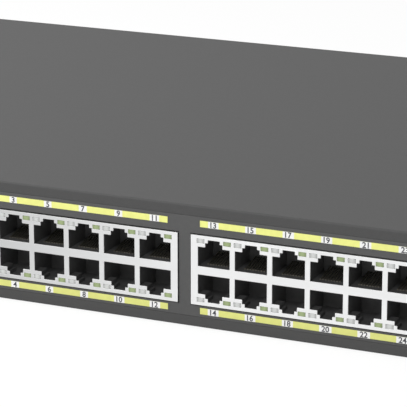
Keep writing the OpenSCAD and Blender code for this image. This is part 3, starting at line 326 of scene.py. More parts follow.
class SwitchStage(bpy.types.PropertyGroup):
    """Light, floor and camera"""

    sky: FloatProperty(
        name="Sky",
        description="Strength of the even light from all round",
        default=0.48,
    )
    key_power: FloatProperty(
        name="Key lamp",
        description="Power of the lamp over the left side",
        default=2.6,
        unit="POWER",
    )
    key_size: FloatProperty(
        name="Key size",
        description="Width of the lamp over the left side",
        default=0.5,
        unit="LENGTH",
    )
    key_place: FloatVectorProperty(
        name="Key place",
        description="Place of the lamp over the left side",
        default=(-0.5, -0.15, 0.45),
        subtype="TRANSLATION",
    )
    fill_power: FloatProperty(
        name="Fill lamp",
        description="Power of the lamp in front",
        default=13.0,
        unit="POWER",
    )
    fill_size: FloatProperty(
        name="Fill size",
        description="Width of the lamp in front",
        default=0.9,
        unit="LENGTH",
    )
    fill_place: FloatVectorProperty(
        name="Fill place",
        description="Place of the lamp in front",
        default=(0.1, -1.35, 1.25),
        subtype="TRANSLATION",
    )
    floor: FloatVectorProperty(
        name="Floor",
        description="Colour of the floor",
        default=(0.85, 0.85, 0.85),
        subtype="COLOR",
    )
    floor_white: FloatProperty(
        name="Floor white",
        description="Part of the floor's white that no shadow reaches",
        default=0.86,
        subtype="FACTOR",
    )
    floor_shadow: FloatProperty(
        name="Floor shadow",
        description="Part of the floor's white that comes from the lamps, which the shadow takes away",
        default=0.15,
        subtype="FACTOR",
    )
    floor_radius: FloatProperty(
        name="Floor radius",
        description="Radius of the round floor",
        default=8.0,
        unit="LENGTH",
    )
    floor_gap: FloatProperty(
        name="Floor gap",
        description="Hairline between the floor and the base",
        default=0.0002,
        unit="LENGTH",
    )
    lens: FloatProperty(
        name="Lens",
        description="Focal length of the camera in millimetres",
        default=205.4,
        unit="CAMERA",
    )
    camera_place: FloatVectorProperty(
        name="Camera place",
        description="Place of the camera",
        default=(0.35708, -0.82938, 0.27127),
        subtype="TRANSLATION",
    )
    camera_dip: FloatProperty(
        name="Camera dip",
        description="Angle by which the camera looks down",
        default=math.radians(16.36),
        subtype="ANGLE",
    )
    camera_turn: FloatProperty(
        name="Camera turn",
        description="Angle by which the camera looks to the left of straight ahead",
        default=math.radians(23.93),
        subtype="ANGLE",
    )


# Materials


def shader(name):
    """A new material, its node tree and its principled shader."""
    material = bpy.data.materials.new(name)
    material.use_nodes = True
    tree = material.node_tree
    return material, tree, tree.nodes["Principled BSDF"]


def placed_noise(tree, feature, stretch=(1, 1, 1)):
    """Noise in the piece's own coordinates, with spots of about that size in metres."""
    coordinates = tree.nodes.new("ShaderNodeTexCoord")
    mapping = tree.nodes.new("ShaderNodeMapping")
    mapping.inputs["Scale"].default_value = stretch
    noise = tree.nodes.new("ShaderNodeTexNoise")
    noise.inputs["Scale"].default_value = 1 / feature
    noise.inputs["Detail"].default_value = 2.0
    tree.links.new(coordinates.outputs["Object"], mapping.inputs["Vector"])
    tree.links.new(mapping.outputs["Vector"], noise.inputs["Vector"])
    return noise.outputs["Fac"]


def mark(tree, name):
    """The value of a mark that the mesh carries."""
    attribute = tree.nodes.new("ShaderNodeAttribute")
    attribute.attribute_name = name
    return attribute.outputs["Fac"]


def shade(colour, factor):
    """The colour made lighter or darker, with its alpha."""
    return [min(1.0, c * factor) for c in colour] + [1.0]


def two_tone(tree, value, first, last, low=NOISE_LOW, high=NOISE_HIGH):
    """A ramp between two colours."""
    ramp = tree.nodes.new("ShaderNodeValToRGB")
    ramp.color_ramp.elements[0].position = low
    ramp.color_ramp.elements[0].color = first
    ramp.color_ramp.elements[1].position = high
    ramp.color_ramp.elements[1].color = last
    tree.links.new(value, ramp.inputs["Fac"])
    return ramp.outputs["Color"]


def patches(tree, colour, patch, vary, stretch=(1, 1, 1)):
    """The colour in patches of about that size in metres, up to that share darker or lighter."""
    cloud = placed_noise(tree, patch, stretch)
    return two_tone(tree, cloud, shade(colour, 1 - vary), shade(colour, 1 + vary))


def spread(tree, value, low, high):
    """The noise value stretched to a range."""
    stretched = tree.nodes.new("ShaderNodeMapRange")
    stretched.inputs["From Min"].default_value = NOISE_LOW
    stretched.inputs["From Max"].default_value = NOISE_HIGH
    stretched.inputs["To Min"].default_value = low
    stretched.inputs["To Max"].default_value = high
    tree.links.new(value, stretched.inputs["Value"])
    return stretched.outputs["Result"]


def grain(tree, principled, feature, depth, stretch=(1, 1, 1)):
    """Relief of that depth in metres."""
    bump = tree.nodes.new("ShaderNodeBump")
    bump.inputs["Strength"].default_value = 1.0
    bump.inputs["Distance"].default_value = depth
    tree.links.new(placed_noise(tree, feature, stretch), bump.inputs["Height"])
    tree.links.new(bump.outputs["Normal"], principled.inputs["Normal"])


def worn_rim(tree, colour, lighter):
    """The colour, a shade lighter along the rim where the coat is thin."""
    patchy = tree.nodes.new("ShaderNodeMath")
    patchy.operation = "MULTIPLY"
    tree.links.new(mark(tree, RIM), patchy.inputs[0])
    tree.links.new(placed_noise(tree, WEAR_PATCH), patchy.inputs[1])
    mix = tree.nodes.new("ShaderNodeMix")
    mix.data_type = "RGBA"
    mix.inputs["B"].default_value = lighter
    tree.links.new(patchy.outputs["Value"], mix.inputs["Factor"])
    tree.links.new(colour, mix.inputs["A"])
    return mix.outputs["Result"]


def matte_rim(material):
    """Takes the metal's mirror away along the rim, where the sheet was cut."""
    tree = material.node_tree
    mirror = tree.nodes.new("ShaderNodeMapRange")
    mirror.inputs["To Min"].default_value = 1.0
    mirror.inputs["To Max"].default_value = 0.0
    tree.links.new(mark(tree, RIM), mirror.inputs["Value"])
    tree.links.new(mirror.outputs["Result"], tree.nodes["Principled BSDF"].inputs["Metallic"])


def dulled(tree, colour, painted_shade):
    """The colour with painted shade along an axis, darkest at the start: the axis, its start, its end
    and the share left at the start.
    """
    axis, start, end, share = painted_shade
    coordinates = tree.nodes.new("ShaderNodeTexCoord")
    places = tree.nodes.new("ShaderNodeSeparateXYZ")
    tree.links.new(coordinates.outputs["Object"], places.inputs["Vector"])
    fade = tree.nodes.new("ShaderNodeMapRange")
    fade.inputs["From Min"].default_value = start
    fade.inputs["From Max"].default_value = end
    fade.inputs["To Min"].default_value = share
    tree.links.new(places.outputs[axis], fade.inputs["Value"])
    scaled = tree.nodes.new("ShaderNodeVectorMath")
    scaled.operation = "SCALE"
    tree.links.new(colour, scaled.inputs["Vector"])
    tree.links.new(fade.outputs["Result"], scaled.inputs["Scale"])
    return scaled.outputs["Vector"]


def finish(
    name, colour, patch, vary, rough, feature, depth,
    metal=0.0, stretch=(1, 1, 1), rim=0.0, gloss=0.05, painted_shade=None,
):
    """A surface with patches of colour, uneven gloss, a fine grain and worn edges.

    patch and vary are the size of the patches and the share by which their colour varies. rough and
    gloss are the roughness and how far it varies. feature and depth are the size and depth of the grain.
    rim is the share by which worn edges are lighter, and painted_shade says where painted shade makes
    the colour darker.
    """
    material, tree, principled = shader(name)
    tone = patches(tree, colour, patch, vary, stretch)
    # Painted shade and light along an axis, where one is given
    if painted_shade:
        tone = dulled(tree, tone, painted_shade)
    if rim:
        tone = worn_rim(tree, tone, shade(colour, 1 + rim))
    tree.links.new(tone, principled.inputs["Base Color"])
    sheen = placed_noise(tree, patch / 3, stretch)
    tree.links.new(spread(tree, sheen, rough - gloss, rough + gloss), principled.inputs["Roughness"])
    principled.inputs["Metallic"].default_value = metal
    grain(tree, principled, feature, depth, stretch)
    return material


def powder_coat(name, colour, painted_shade=None):
    """Satin powder coat on sheet steel."""
    material = finish(
        name, colour,
        patch=0.0015, vary=0.02, rough=0.6, feature=0.0005, depth=0.000006,
        rim=0.15, gloss=0.02, painted_shade=painted_shade,
    )
    principled = material.node_tree.nodes["Principled BSDF"]
    principled.inputs["Specular IOR Level"].default_value = 0.15
    return material


def tin_plate(name, colour, painted_shade=None):
    """Tin plating on thin sheet, rolled along X, with matte cut edges."""
    material = finish(
        name, colour,
        patch=0.006, vary=0.03, rough=0.42, feature=0.0004, depth=0.000004,
        metal=1.0, stretch=(0.15, 1, 1), rim=0.25, painted_shade=painted_shade,
    )
    matte_rim(material)
    return material


def moulded_plastic(name, colour, painted_shade=None):
    """Moulded plastic with a fine spark-eroded grain."""
    return finish(
        name, colour,
        patch=0.003, vary=0.1, rough=0.5, feature=0.0002, depth=0.000006, rim=0.6, painted_shade=painted_shade,
    )


def button_plastic():
    """White moulded plastic of the reset button."""
    return finish(
        "white_plastic", (0.72, 0.72, 0.70),
        patch=0.002, vary=0.04, rough=0.4, feature=0.0002, depth=0.000004,
    )


def strip_print(colours):
    """Yellow screen print, darker towards the foot of the lower strips as painted shade."""
    low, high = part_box("port_strips")
    return finish(
        "strip_print", colours.strip,
        patch=0.002, vary=0.03, rough=0.6, feature=0.0002, depth=0.000003,
        painted_shade=("Z", low.z, high.z, colours.strip_foot),
    )


def box_print(colours):
    """White screen print."""
    return finish(
        "box_print", colours.number_box,
        patch=0.002, vary=0.02, rough=0.6, feature=0.0002, depth=0.000003,
    )


def number_print(colours):
    """Dark screen print."""
    return finish(
        "number_print", colours.number_ink,
        patch=0.001, vary=0.1, rough=0.6, feature=0.0002, depth=0.000003,
    )


def lamp_lens(name, colour, ends):
    """Lamp lens with a painted highlight: lighter in the middle and darker at its ends."""
    material, tree, principled = shader(name)
    # Painted highlight in the middle of the lens and painted shade at its ends
    highlight_tone = shade(colour, 1.0)
    end_shade = shade(colour, ends)
    tone = two_tone(tree, mark(tree, ACROSS), highlight_tone, end_shade, LENS_FADE_START, LENS_FADE_END)
    tree.links.new(tone, principled.inputs["Base Color"])
    gloss = placed_noise(tree, feature=0.001)
    tree.links.new(spread(tree, gloss, low=0.18, high=0.3), principled.inputs["Roughness"])
    grain(tree, principled, feature=0.0004, depth=0.000004)
    return material


def gold_plate():
    """Thin gold plating on sprung contacts, its colour darkened well below gold as painted shade of the
    ports' inside.
    """
    return finish(
        "gold_plate", (0.26, 0.24, 0.19),
        patch=0.002, vary=0.1, rough=0.45, feature=0.0002, depth=0.000002, metal=1.0,
    )


def zinc_plate():
    """Bright zinc on screws."""
    return finish(
        "zinc_plate", (0.63, 0.64, 0.65),
        patch=0.002, vary=0.08, rough=0.32, feature=0.0003, depth=0.000004, metal=1.0, rim=0.2,
    )


def turned_brass():
    """Brass of standoffs and the ground screw."""
    return finish(
        "turned_brass", (0.67, 0.51, 0.22),
        patch=0.002, vary=0.08, rough=0.3, feature=0.0003, depth=0.000003, metal=1.0, rim=0.2,
    )


def extruded_aluminium():
    """Aluminium with lines along the extrusion."""
    return finish(
        "extruded_aluminium", (0.66, 0.67, 0.68),
        patch=0.004, vary=0.06, rough=0.35, feature=0.0004, depth=0.000006,
        metal=1.0, stretch=(1, 0.05, 1),
    )


def nickel_pins():
    """Nickel plating of the inlet's pins."""
    return finish(
        "nickel_pins", (0.74, 0.73, 0.70),
        patch=0.002, vary=0.05, rough=0.25, feature=0.0003, depth=0.000002, metal=1.0, rim=0.15,
    )


def copper_winding():
    """Enamelled copper with the turns of the winding as a relief."""
    return finish(
        "copper_winding", (0.42, 0.17, 0.06),
        patch=0.003, vary=0.15, rough=0.35, feature=0.0006, depth=0.00008,
        metal=0.6, stretch=(0.1, 0.1, 1),
    )


def solder_mask():
    """Green solder mask with the tracks showing through."""
    return finish(
        "solder_mask", (0.012, 0.10, 0.035),
        patch=0.003, vary=0.25, rough=0.4, feature=0.0012, depth=0.00002, stretch=(1, 0.3, 1),
    )


def bare_laminate():
    """Tan board without solder mask."""
    return finish(
        "bare_laminate", (0.42, 0.27, 0.09),
        patch=0.003, vary=0.12, rough=0.5, feature=0.0008, depth=0.00001, stretch=(0.3, 1, 1),
    )


def chip_resin():
    """Black moulded resin."""
    return finish(
        "chip_resin", (0.018, 0.018, 0.019),
        patch=0.002, vary=0.15, rough=0.55, feature=0.0002, depth=0.000006,
    )


def can_sleeve():
    """Dark sleeve of a capacitor."""
    return finish(
        "can_sleeve", (0.012, 0.02, 0.06),
        patch=0.004, vary=0.15, rough=0.25, feature=0.001, depth=0.000005,
    )


def ivory_nylon():
    """Nylon of the wire headers."""
    return finish(
        "ivory_nylon", (0.72, 0.66, 0.48),
        patch=0.003, vary=0.04, rough=0.45, feature=0.0003, depth=0.000005,
    )


def white_film():
    """Insulating film."""
    return finish(
        "white_film", (0.80, 0.80, 0.76),
        patch=0.01, vary=0.03, rough=0.3, feature=0.002, depth=0.00002,
    )


def wire_jacket(name, colour):
    """Soft insulation of a wire."""
    return finish(name, colour, patch=0.004, vary=0.1, rough=0.45, feature=0.0005, depth=0.000006)


# Pieces


def merged(node):
    """A copy of a node's mesh, with its points joined and its flat faces whole."""
    bm = bmesh.new()
    bm.from_mesh(frame["nodes"][node].data)
    bmesh.ops.remove_doubles(bm, verts=bm.verts, dist=MERGE)
    bmesh.ops.dissolve_limit(bm, angle_limit=FLAT, verts=bm.verts, edges=bm.edges)
    return bm


def solids(bm):
    """The separate solids of a mesh, each as a list of its points."""
    left = set(bm.verts)
    found = []
    while left:
        waiting = [left.pop()]
        solid = []
        while waiting:
            point = waiting.pop()
            solid.append(point)
            for edge in point.link_edges:
                other = edge.other_vert(point)
                if other in left:
                    left.remove(other)
                    waiting.append(other)
        found.append(solid)
    return found


def reach(points):
    """Lowest and highest corner of some points."""
    low = Vector(min(p.co[i] for p in points) for i in range(3))
    high = Vector(max(p.co[i] for p in points) for i in range(3))
    return low, high


def solid_boxes(node):
    """Lowest and highest corner of each solid of a node."""
    bm = merged(node)
    boxes = [reach(solid) for solid in solids(bm)]
    bm.free()
    return boxes


def piece(name, bm, material, body):
    """The finished mesh as a piece that rides on a body."""
    mesh = bpy.data.meshes.new(name)
    bm.to_mesh(mesh)
    bm.free()
    mesh.materials.append(material)
    mesh.shade_smooth()
    mesh.set_sharp_from_angle(angle=SMOOTH)
    made = bpy.data.objects.new(name, mesh)
    bpy.context.scene.collection.objects.link(made)
    weighted = made.modifiers.new("Flat faces stay flat", "WEIGHTED_NORMAL")
    weighted.keep_sharp = True
    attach(made, body)
    return made


def bevelled(bm, edges, width, segments):
    """Rounds the given edges."""
    return bmesh.ops.bevel(
        bm,
        geom=edges,
        offset=width,
        offset_type="OFFSET",
        segments=segments,
        profile=0.5,
        affect="EDGES",
        clamp_overlap=False,
        material=-1,
    )


def rounded(bm, edge, segments, cut):
    """Rounds the sharp edges, and marks the new faces and those narrower than a cut edge as rim."""
    rim = bm.faces.layers.float.new(RIM)
    sharp = [e for e in bm.edges if e.is_manifold and e.calc_face_angle() > SHARP]
    made = bevelled(bm, sharp, edge, segments)
    narrow = [f for f in bm.faces if f.calc_area() < cut * max(e.calc_length() for e in f.edges)]
    for face in made["faces"] + narrow:
        face[rim] = 1.0


def in_place_of(node, bm, material):
    """The finished mesh as a piece that stands for a node."""
    made = piece(node + "_finished", bm, material, BODY_OF[node])
    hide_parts(node)


def softened(node, material, edge, segments=EDGE_STEPS, cut=0.0):
    """The node with its edges rounded, in its place."""
    bm = merged(node)
    rounded(bm, edge, segments, cut)
    in_place_of(node, bm, material)


def coat(node, material):
    """Gives a node that keeps its own mesh its finish."""
    frame["nodes"][node].material_slots[0].material = material


def round_front(bm, edge):
    """Rounds the edges round the foremost faces."""
    front = min(v.co.y for v in bm.verts)
    foremost = [e for e in bm.edges if max(v.co.y for v in e.verts) < front + MERGE]
    bevelled(bm, foremost, edge, FRONT_STEPS)


def light_pipe(node, material, sizes):
    """Light pipes with a rounded front."""
    bm = merged(node)
    round_front(bm, sizes.lens_edge)
    in_place_of(node, bm, material)


def lens_piece(node, material, sizes):
    """Lenses with round corners and a rounded front, each marked from its middle to its ends."""
    bm = merged(node)
    corners = [e for e in bm.edges if abs(e.verts[0].co.y - e.verts[1].co.y) > MERGE]
    bevelled(bm, corners, sizes.lens_corner, CORNER_STEPS)
    round_front(bm, sizes.lens_edge)
    boxes = [reach(solid) for solid in solids(bm)]
    spans = {(round(low.x, DECIMALS), round(high.x, DECIMALS)) for low, high in boxes}
    for low, high in sorted(spans):
        for share in LENS_CUTS:
            cut = low + (high - low) * share
            geom = bm.verts[:] + bm.edges[:] + bm.faces[:]
            bmesh.ops.bisect_plane(bm, geom=geom, dist=MERGE, plane_co=(cut, 0, 0), plane_no=(1, 0, 0))
    across = bm.verts.layers.float.new(ACROSS)
    for solid in solids(bm):
        low, high = reach(solid)
        for point in solid:
            point[across] = abs(2 * point.co.x - low.x - high.x) / (high.x - low.x)
    in_place_of(node, bm, material)


class SWITCH_OT_chassis(bpy.types.Operator):
    """Finish the folded sheets of the chassis and the rack ears"""

    bl_idname = "switch.chassis"
    bl_label = "Chassis"

    def execute(self, context):
        colours = context.scene.switch_colours
        sizes = context.scene.switch_sizes
        softened("top_cover", powder_coat("cover_coat", colours.cover_paint), sizes.seam_edge)
        low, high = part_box("front_panel")
        # Painted shade: the front panel gets darker towards its foot
        painted_panel_shade = ("Z", low.z, high.z, colours.panel_foot)
        # Painted light: the front panel's paint is a lighter copy of the cover's
        softened("front_panel", powder_coat("panel_lit_coat", colours.panel_paint, painted_panel_shade), sizes.seam_edge)
        # Painted shade: the base's paint is a darker copy of the cover's
        base_shaded_coat = powder_coat("base_shaded_coat", colours.base_paint)
        softened("base_pan", base_shaded_coat, sizes.seam_edge)
        for node in ("rear_panel", "rack_ear_left", "rack_ear_right"):
            softened(node, base_shaded_coat, sizes.sheet_edge)
        return {"FINISHED"}


class SWITCH_OT_jacks(bpy.types.Operator):
    """Finish the jack blocks, the console jack and the uplink cage"""

    bl_idname = "switch.jacks"
    bl_label = "Jacks"

    def execute(self, context):
        sizes = context.scene.switch_sizes
        colours = context.scene.switch_colours
        gold = gold_plate()
        low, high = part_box("jack_shield_left")
        # Painted light and shade: the jacks' plastic is darker at the mouth and paler deeper in, which
        # evens out the shade in the ports
        painted_port_shade = ("Y", low.y, low.y + sizes.jack_fade, colours.jack_front)
        plastic = moulded_plastic("jack_plastic", colours.jack_plastic, painted_port_shade)
        # Painted shade: the left shield's plating gets darker towards its left end
        painted_plate_shade = ("X", low.x, high.x, colours.left_plate_end)
        left_plate = tin_plate("left_plate", colours.left_plate, painted_plate_shade)
        softened("jack_shield_left", left_plate, sizes.plate_edge, cut=sizes.plate_cut)
        plate = tin_plate("right_plate", colours.right_plate)
        for node in ("jack_shield_right", "console_shield", "uplink_cage"):
            softened(node, plate, sizes.plate_edge, cut=sizes.plate_cut)
        for node in ("jack_housing_left", "jack_housing_right"):
            coat(node, plastic)
        for node in ("console_housing", "edge_connectors"):
            softened(node, plastic, sizes.plastic_edge)
        for node in ("jack_contacts_left", "jack_contacts_right", "console_contacts"):
            coat(node, gold)
        return {"FINISHED"}


class SWITCH_OT_lamps(bpy.types.Operator):
    """Finish the lamp lenses and the light pipes"""

    bl_idname = "switch.lamps"
    bl_label = "Lamps"

    def execute(self, context):
        colours = context.scene.switch_colours
        sizes = context.scene.switch_sizes
        green = lamp_lens("green_lens", colours.green_lens, colours.green_ends)
        clear = lamp_lens("clear_lens", colours.clear_lens, colours.clear_ends)
        lens_piece("link_lamps", green, sizes)
        for node in ("activity_lamps", "uplink_lamps"):
            lens_piece(node, clear, sizes)
        light_pipe("status_light_pipes", clear, sizes)
        return {"FINISHED"}


def number_mesh(number, sizes):
    """A printed number that faces forward, with the middle of its front at the origin."""
    curve = bpy.data.curves.new("number", "FONT")
    curve.body = str(number)
    curve.resolution_u = NUMBER_STEPS
    curve.offset = sizes.number_weight
    writer = bpy.data.objects.new("number", curve)
    mesh = bpy.data.meshes.new_from_object(writer)
    bm = bmesh.new()
    bm.from_mesh(mesh)
    bpy.data.objects.remove(writer)
    bpy.data.curves.remove(curve)
    bpy.data.meshes.remove(mesh)
    bmesh.ops.remove_doubles(bm, verts=bm.verts, dist=MERGE)
    inner = [e for e in bm.edges if not e.is_boundary]
    bmesh.ops.delete(bm, geom=bm.faces[:], context="FACES_ONLY")
    bmesh.ops.delete(bm, geom=inner, context="EDGES")
    bmesh.ops.triangle_fill(bm, use_beauty=True, edges=bm.edges[:], normal=(0, 0, 1))
    low, high = reach(bm.verts)
    bmesh.ops.translate(bm, verts=bm.verts, vec=-(low + high) / 2)
    bmesh.ops.scale(bm, verts=bm.verts, vec=Vector((1, 1, 1)) * sizes.number_h / (high.y - low.y))
    bmesh.ops.rotate(bm, verts=bm.verts, cent=(0, 0, 0), matrix=Matrix.Rotation(math.pi / 2, 3, "X"))
    bmesh.ops.solidify(bm, geom=bm.faces[:], thickness=sizes.ink_t)
    return bm


def box_mesh(size, place):
    """A printed box of that size, with its middle at that place."""
    bm = bmesh.new()
    bmesh.ops.create_cube(bm, size=1.0)
    bmesh.ops.scale(bm, verts=bm.verts, vec=size)
    bmesh.ops.translate(bm, verts=bm.verts, vec=place)
    return bm


def add_to(target, bm):
    """Adds one mesh to another and frees it."""
    mesh = bpy.data.meshes.new("part")
    bm.to_mesh(mesh)
    bm.free()
    target.from_mesh(mesh)
    bpy.data.meshes.remove(mesh)


class SWITCH_OT_strips(bpy.types.Operator):
    """Print the yellow strips and the port numbers"""

    bl_idname = "switch.strips"
    bl_label = "Port strips"

    def execute(self, context):
        sizes = context.scene.switch_sizes
        colours = context.scene.switch_colours
        softened("port_strips", strip_print(colours), sizes.ink_t, segments=1)
        low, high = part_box("port_strips")
        middle = (low.z + high.z) / 2
        strips = solid_boxes("port_strips")
        columns = self.port_columns()
        shift = (low.x + high.x - columns[0] - columns[-1]) / 2
        boxes = bmesh.new()
        digits = bmesh.new()
        for upper in (True, False):
            bottom, top = next(strip for strip in strips if (strip[0].z > middle) == upper)
            z = (bottom.z + top.z) / 2
            height = top.z - bottom.z
            for column, port_x in enumerate(columns):
                x = port_x + shift
                text = number_mesh(2 * column + (1 if upper else 2), sizes)
                left, right = reach(text.verts)
                width = right.x - left.x + 2 * sizes.number_margin
                bmesh.ops.translate(text, verts=text.verts, vec=(x, low.y - 2 * sizes.ink_t, z))
                add_to(digits, text)
                add_to(boxes, box_mesh((width, sizes.ink_t, height), (x, low.y - sizes.ink_t / 2, z)))
        self.print_ink("number_boxes", boxes, box_print(colours))
        self.print_ink("port_numbers", digits, number_print(colours))
        return {"FINISHED"}

    def port_columns(self):
        """The middle of each column of ports, from left to right."""
        others = solid_boxes("activity_lamps")
        columns = set()
        for right in solid_boxes("link_lamps"):
            row = [o for o in others if o[0].x < right[0].x and abs(o[0].z - right[0].z) < MERGE]
            left = max(row, key=lambda o: o[0].x)
            columns.add(round((right[0].x + left[1].x) / 2, DECIMALS))
        return sorted(columns)

    def print_ink(self, name, bm, material):
        """The finished print as a piece of the chassis."""
        piece(name, bm, material, CHASSIS)


class SWITCH_OT_controls(bpy.types.Operator):
    """Finish the reset button and its switch"""

    bl_idname = "switch.controls"
    bl_label = "Controls"

    def execute(self, context):
        edge = context.scene.switch_sizes.plastic_edge
        plastic = moulded_plastic("switch_plastic", context.scene.switch_colours.black_plastic)
        softened("reset_button", button_plastic(), edge)
        softened("reset_switch", plastic, edge)
        return {"FINISHED"}


class SWITCH_OT_screws(bpy.types.Operator):
    """Finish the screws"""

    bl_idname = "switch.screws"
    bl_label = "Screws"

    def execute(self, context):
        edge = context.scene.switch_sizes.screw_edge
        zinc = zinc_plate()
        for place in ("ear", "cover", "inlet", "fan", "board", "psu"):
            softened(place + "_screws", zinc, edge)
        softened("ground_screw", turned_brass(), edge)
        return {"FINISHED"}


class SWITCH_OT_fans(bpy.types.Operator):
    """Finish the fans"""

    bl_idname = "switch.fans"
    bl_label = "Fans"

    def execute(self, context):
        plastic = moulded_plastic("fan_plastic", context.scene.switch_colours.black_plastic)
        sizes = context.scene.switch_sizes
        for node in ("fan_frame_left", "fan_frame_right"):
            softened(node, plastic, sizes.plastic_edge)
        for node in ("fan_rotor_left", "fan_rotor_right"):
            softened(node, plastic, sizes.fine_edge)
        coat("fan_stators", copper_winding())
        return {"FINISHED"}


class SWITCH_OT_inlet(bpy.types.Operator):
    """Finish the power inlet"""

    bl_idname = "switch.inlet"
    bl_label = "Power inlet"

    def execute(self, context):
        edge = context.scene.switch_sizes.plastic_edge
        plastic = moulded_plastic("inlet_plastic", context.scene.switch_colours.black_plastic)
        softened("power_inlet", plastic, edge)
        softened("inlet_pins", nickel_pins(), edge)
        return {"FINISHED"}


class SWITCH_OT_inside(bpy.types.Operator):
    """Finish the boards, the power supply and the wiring"""

    bl_idname = "switch.inside"
    bl_label = "Inside"

    def execute(self, context):
        coats = (
            (solder_mask(), ("main_board",)),
            (bare_laminate(), ("psu_board",)),
            (turned_brass(), ("board_standoffs", "psu_standoffs")),
            (chip_resin(), ("magnetics", "switch_chip", "power_controllers", "transformer_core")),
            (extruded_aluminium(), ("switch_heat_sink", "controller_heat_sinks", "psu_heat_sinks")),
            (can_sleeve(), ("board_capacitors", "bulk_capacitors")),
            (ivory_nylon(), ("board_headers",)),
            (white_film(), ("psu_insulator",)),
            (copper_winding(), ("transformer_winding", "line_choke")),
            (wire_jacket("red_jacket", (0.35, 0.02, 0.02)), ("supply_wires",)),
            (wire_jacket("black_jacket", (0.02, 0.02, 0.02)), ("fan_leads", "line_wires")),
        )
        for material, nodes in coats:
            for node in nodes:
                coat(node, material)
        return {"FINISHED"}


# Stage


def white_to_eye(tree):
    """One where the camera, a mirror or glass looks, and zero where soft light is gathered."""
    path = tree.nodes.new("ShaderNodeLightPath")
    seen = path.outputs["Is Camera Ray"]
    for ray in ("Is Glossy Ray", "Is Transmission Ray"):
        either = tree.nodes.new("ShaderNodeMath")
        either.operation = "MAXIMUM"
        tree.links.new(seen, either.inputs[0])
        tree.links.new(path.outputs[ray], either.inputs[1])
        seen = either.outputs["Value"]
    return seen


def show_white(tree, light, white, output):
    """Shows the white shader to the camera and mirrors, and lights the object with the other one."""
    pick = tree.nodes.new("ShaderNodeMixShader")
    tree.links.new(white_to_eye(tree), pick.inputs["Fac"])
    tree.links.new(light, pick.inputs[1])
    tree.links.new(white, pick.inputs[2])
    tree.links.new(pick.outputs["Shader"], tree.nodes[output].inputs["Surface"])


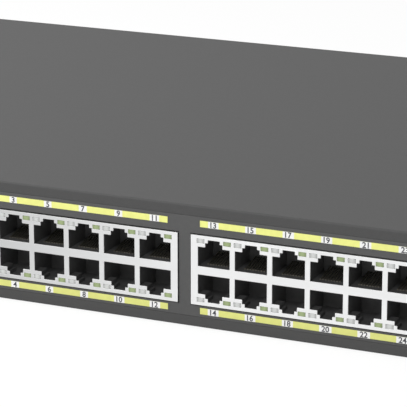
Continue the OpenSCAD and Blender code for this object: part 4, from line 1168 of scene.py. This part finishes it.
class SWITCH_OT_stage(bpy.types.Operator):
    """Make the floor, the light and the camera"""

    bl_idname = "switch.stage"
    bl_label = "Stage"

    def execute(self, context):
        stage = context.scene.switch_stage
        self.make_floor(context.scene, stage)
        self.make_sky(context.scene, stage)
        self.make_lamp(context.scene, "key_lamp", stage.key_power, stage.key_size, stage.key_place)
        self.make_lamp(context.scene, "fill_lamp", stage.fill_power, stage.fill_size, stage.fill_place)
        self.make_camera(context.scene, stage)
        context.scene.view_settings.view_transform = "Standard"
        return {"FINISHED"}

    def make_floor(self, scene, stage):
        """A round pale floor that the camera sees as white with the object's shadow."""
        bm = bmesh.new()
        bmesh.ops.create_circle(bm, cap_ends=True, segments=FLOOR_SIDES, radius=stage.floor_radius)
        bmesh.ops.translate(bm, verts=bm.verts, vec=(0, 0, CAD_BOX[0].z - stage.floor_gap))
        mesh = bpy.data.meshes.new("floor")
        bm.to_mesh(mesh)
        bm.free()
        material, tree, principled = shader("pale_floor")
        tone = patches(tree, stage.floor, patch=0.6, vary=0.01)
        tree.links.new(tone, principled.inputs["Base Color"])
        principled.inputs["Roughness"].default_value = 0.9
        principled.inputs["Specular IOR Level"].default_value = 0.0
        white = tree.nodes.new("ShaderNodeEmission")
        white.inputs["Strength"].default_value = stage.floor_white
        lit = tree.nodes.new("ShaderNodeBsdfDiffuse")
        lit.inputs["Color"].default_value = shade((1, 1, 1), stage.floor_shadow)
        shadowed = tree.nodes.new("ShaderNodeAddShader")
        tree.links.new(white.outputs["Emission"], shadowed.inputs[0])
        tree.links.new(lit.outputs["BSDF"], shadowed.inputs[1])
        show_white(tree, principled.outputs["BSDF"], shadowed.outputs["Shader"], "Material Output")
        mesh.materials.append(material)
        floor = bpy.data.objects.new("floor", mesh)
        scene.collection.objects.link(floor)

    def make_sky(self, scene, stage):
        """Even light from all round, which the camera sees as white."""
        scene.world = scene.world or bpy.data.worlds.new("sky")
        scene.world.use_nodes = True
        tree = scene.world.node_tree
        soft = tree.nodes["Background"]
        soft.inputs["Color"].default_value = (1, 1, 1, 1)
        soft.inputs["Strength"].default_value = stage.sky
        white = tree.nodes.new("ShaderNodeBackground")
        white.inputs["Color"].default_value = (1, 1, 1, 1)
        white.inputs["Strength"].default_value = 1.0
        show_white(tree, soft.outputs["Background"], white.outputs["Background"], "World Output")

    def make_lamp(self, scene, name, power, size, place):
        """A round lamp that is turned to the origin."""
        lamp = bpy.data.lights.new(name, "AREA")
        lamp.shape = "DISK"
        lamp.size = size
        lamp.energy = power
        holder = bpy.data.objects.new(name, lamp)
        holder.location = place
        holder.rotation_euler = (-Vector(place)).to_track_quat("-Z", "Y").to_euler()
        holder.visible_camera = False
        scene.collection.objects.link(holder)

    def make_camera(self, scene, stage):
        """The camera at the photograph's viewing angle."""
        camera = bpy.data.cameras.new("camera")
        camera.lens = stage.lens
        camera.sensor_width = 36.0
        camera.clip_start = 0.01
        camera.clip_end = 50.0
        holder = bpy.data.objects.new("camera", camera)
        holder.location = stage.camera_place
        holder.rotation_euler = (math.pi / 2 - stage.camera_dip, 0, stage.camera_turn)
        scene.collection.objects.link(holder)
        scene.camera = holder


MAKERS = (
    SWITCH_OT_stage,
    SWITCH_OT_chassis,
    SWITCH_OT_jacks,
    SWITCH_OT_lamps,
    SWITCH_OT_strips,
    SWITCH_OT_controls,
    SWITCH_OT_screws,
    SWITCH_OT_fans,
    SWITCH_OT_inlet,
    SWITCH_OT_inside,
)


class SWITCH_PT_panel(bpy.types.Panel):
    """Lists the makers of the switch's pieces"""

    bl_idname = "SWITCH_PT_panel"
    bl_label = "Network switch"
    bl_space_type = "VIEW_3D"
    bl_region_type = "UI"
    bl_category = "Switch"

    def draw(self, context):
        for maker in MAKERS:
            self.layout.operator(maker.bl_idname)


CLASSES = (SwitchSizes, SwitchColours, SwitchStage, *MAKERS, SWITCH_PT_panel)


def register():
    for cls in CLASSES:
        bpy.utils.register_class(cls)
    bpy.types.Scene.switch_sizes = PointerProperty(type=SwitchSizes)
    bpy.types.Scene.switch_colours = PointerProperty(type=SwitchColours)
    bpy.types.Scene.switch_stage = PointerProperty(type=SwitchStage)


def unregister():
    del bpy.types.Scene.switch_stage
    del bpy.types.Scene.switch_colours
    del bpy.types.Scene.switch_sizes
    for cls in reversed(CLASSES):
        bpy.utils.unregister_class(cls)


def main():
    register()
    bpy.ops.switch.stage()
    bpy.ops.switch.chassis()
    bpy.ops.switch.jacks()
    bpy.ops.switch.lamps()
    bpy.ops.switch.strips()
    bpy.ops.switch.controls()
    bpy.ops.switch.screws()
    bpy.ops.switch.fans()
    bpy.ops.switch.inlet()
    bpy.ops.switch.inside()


if __name__ == "__main__":
    main()
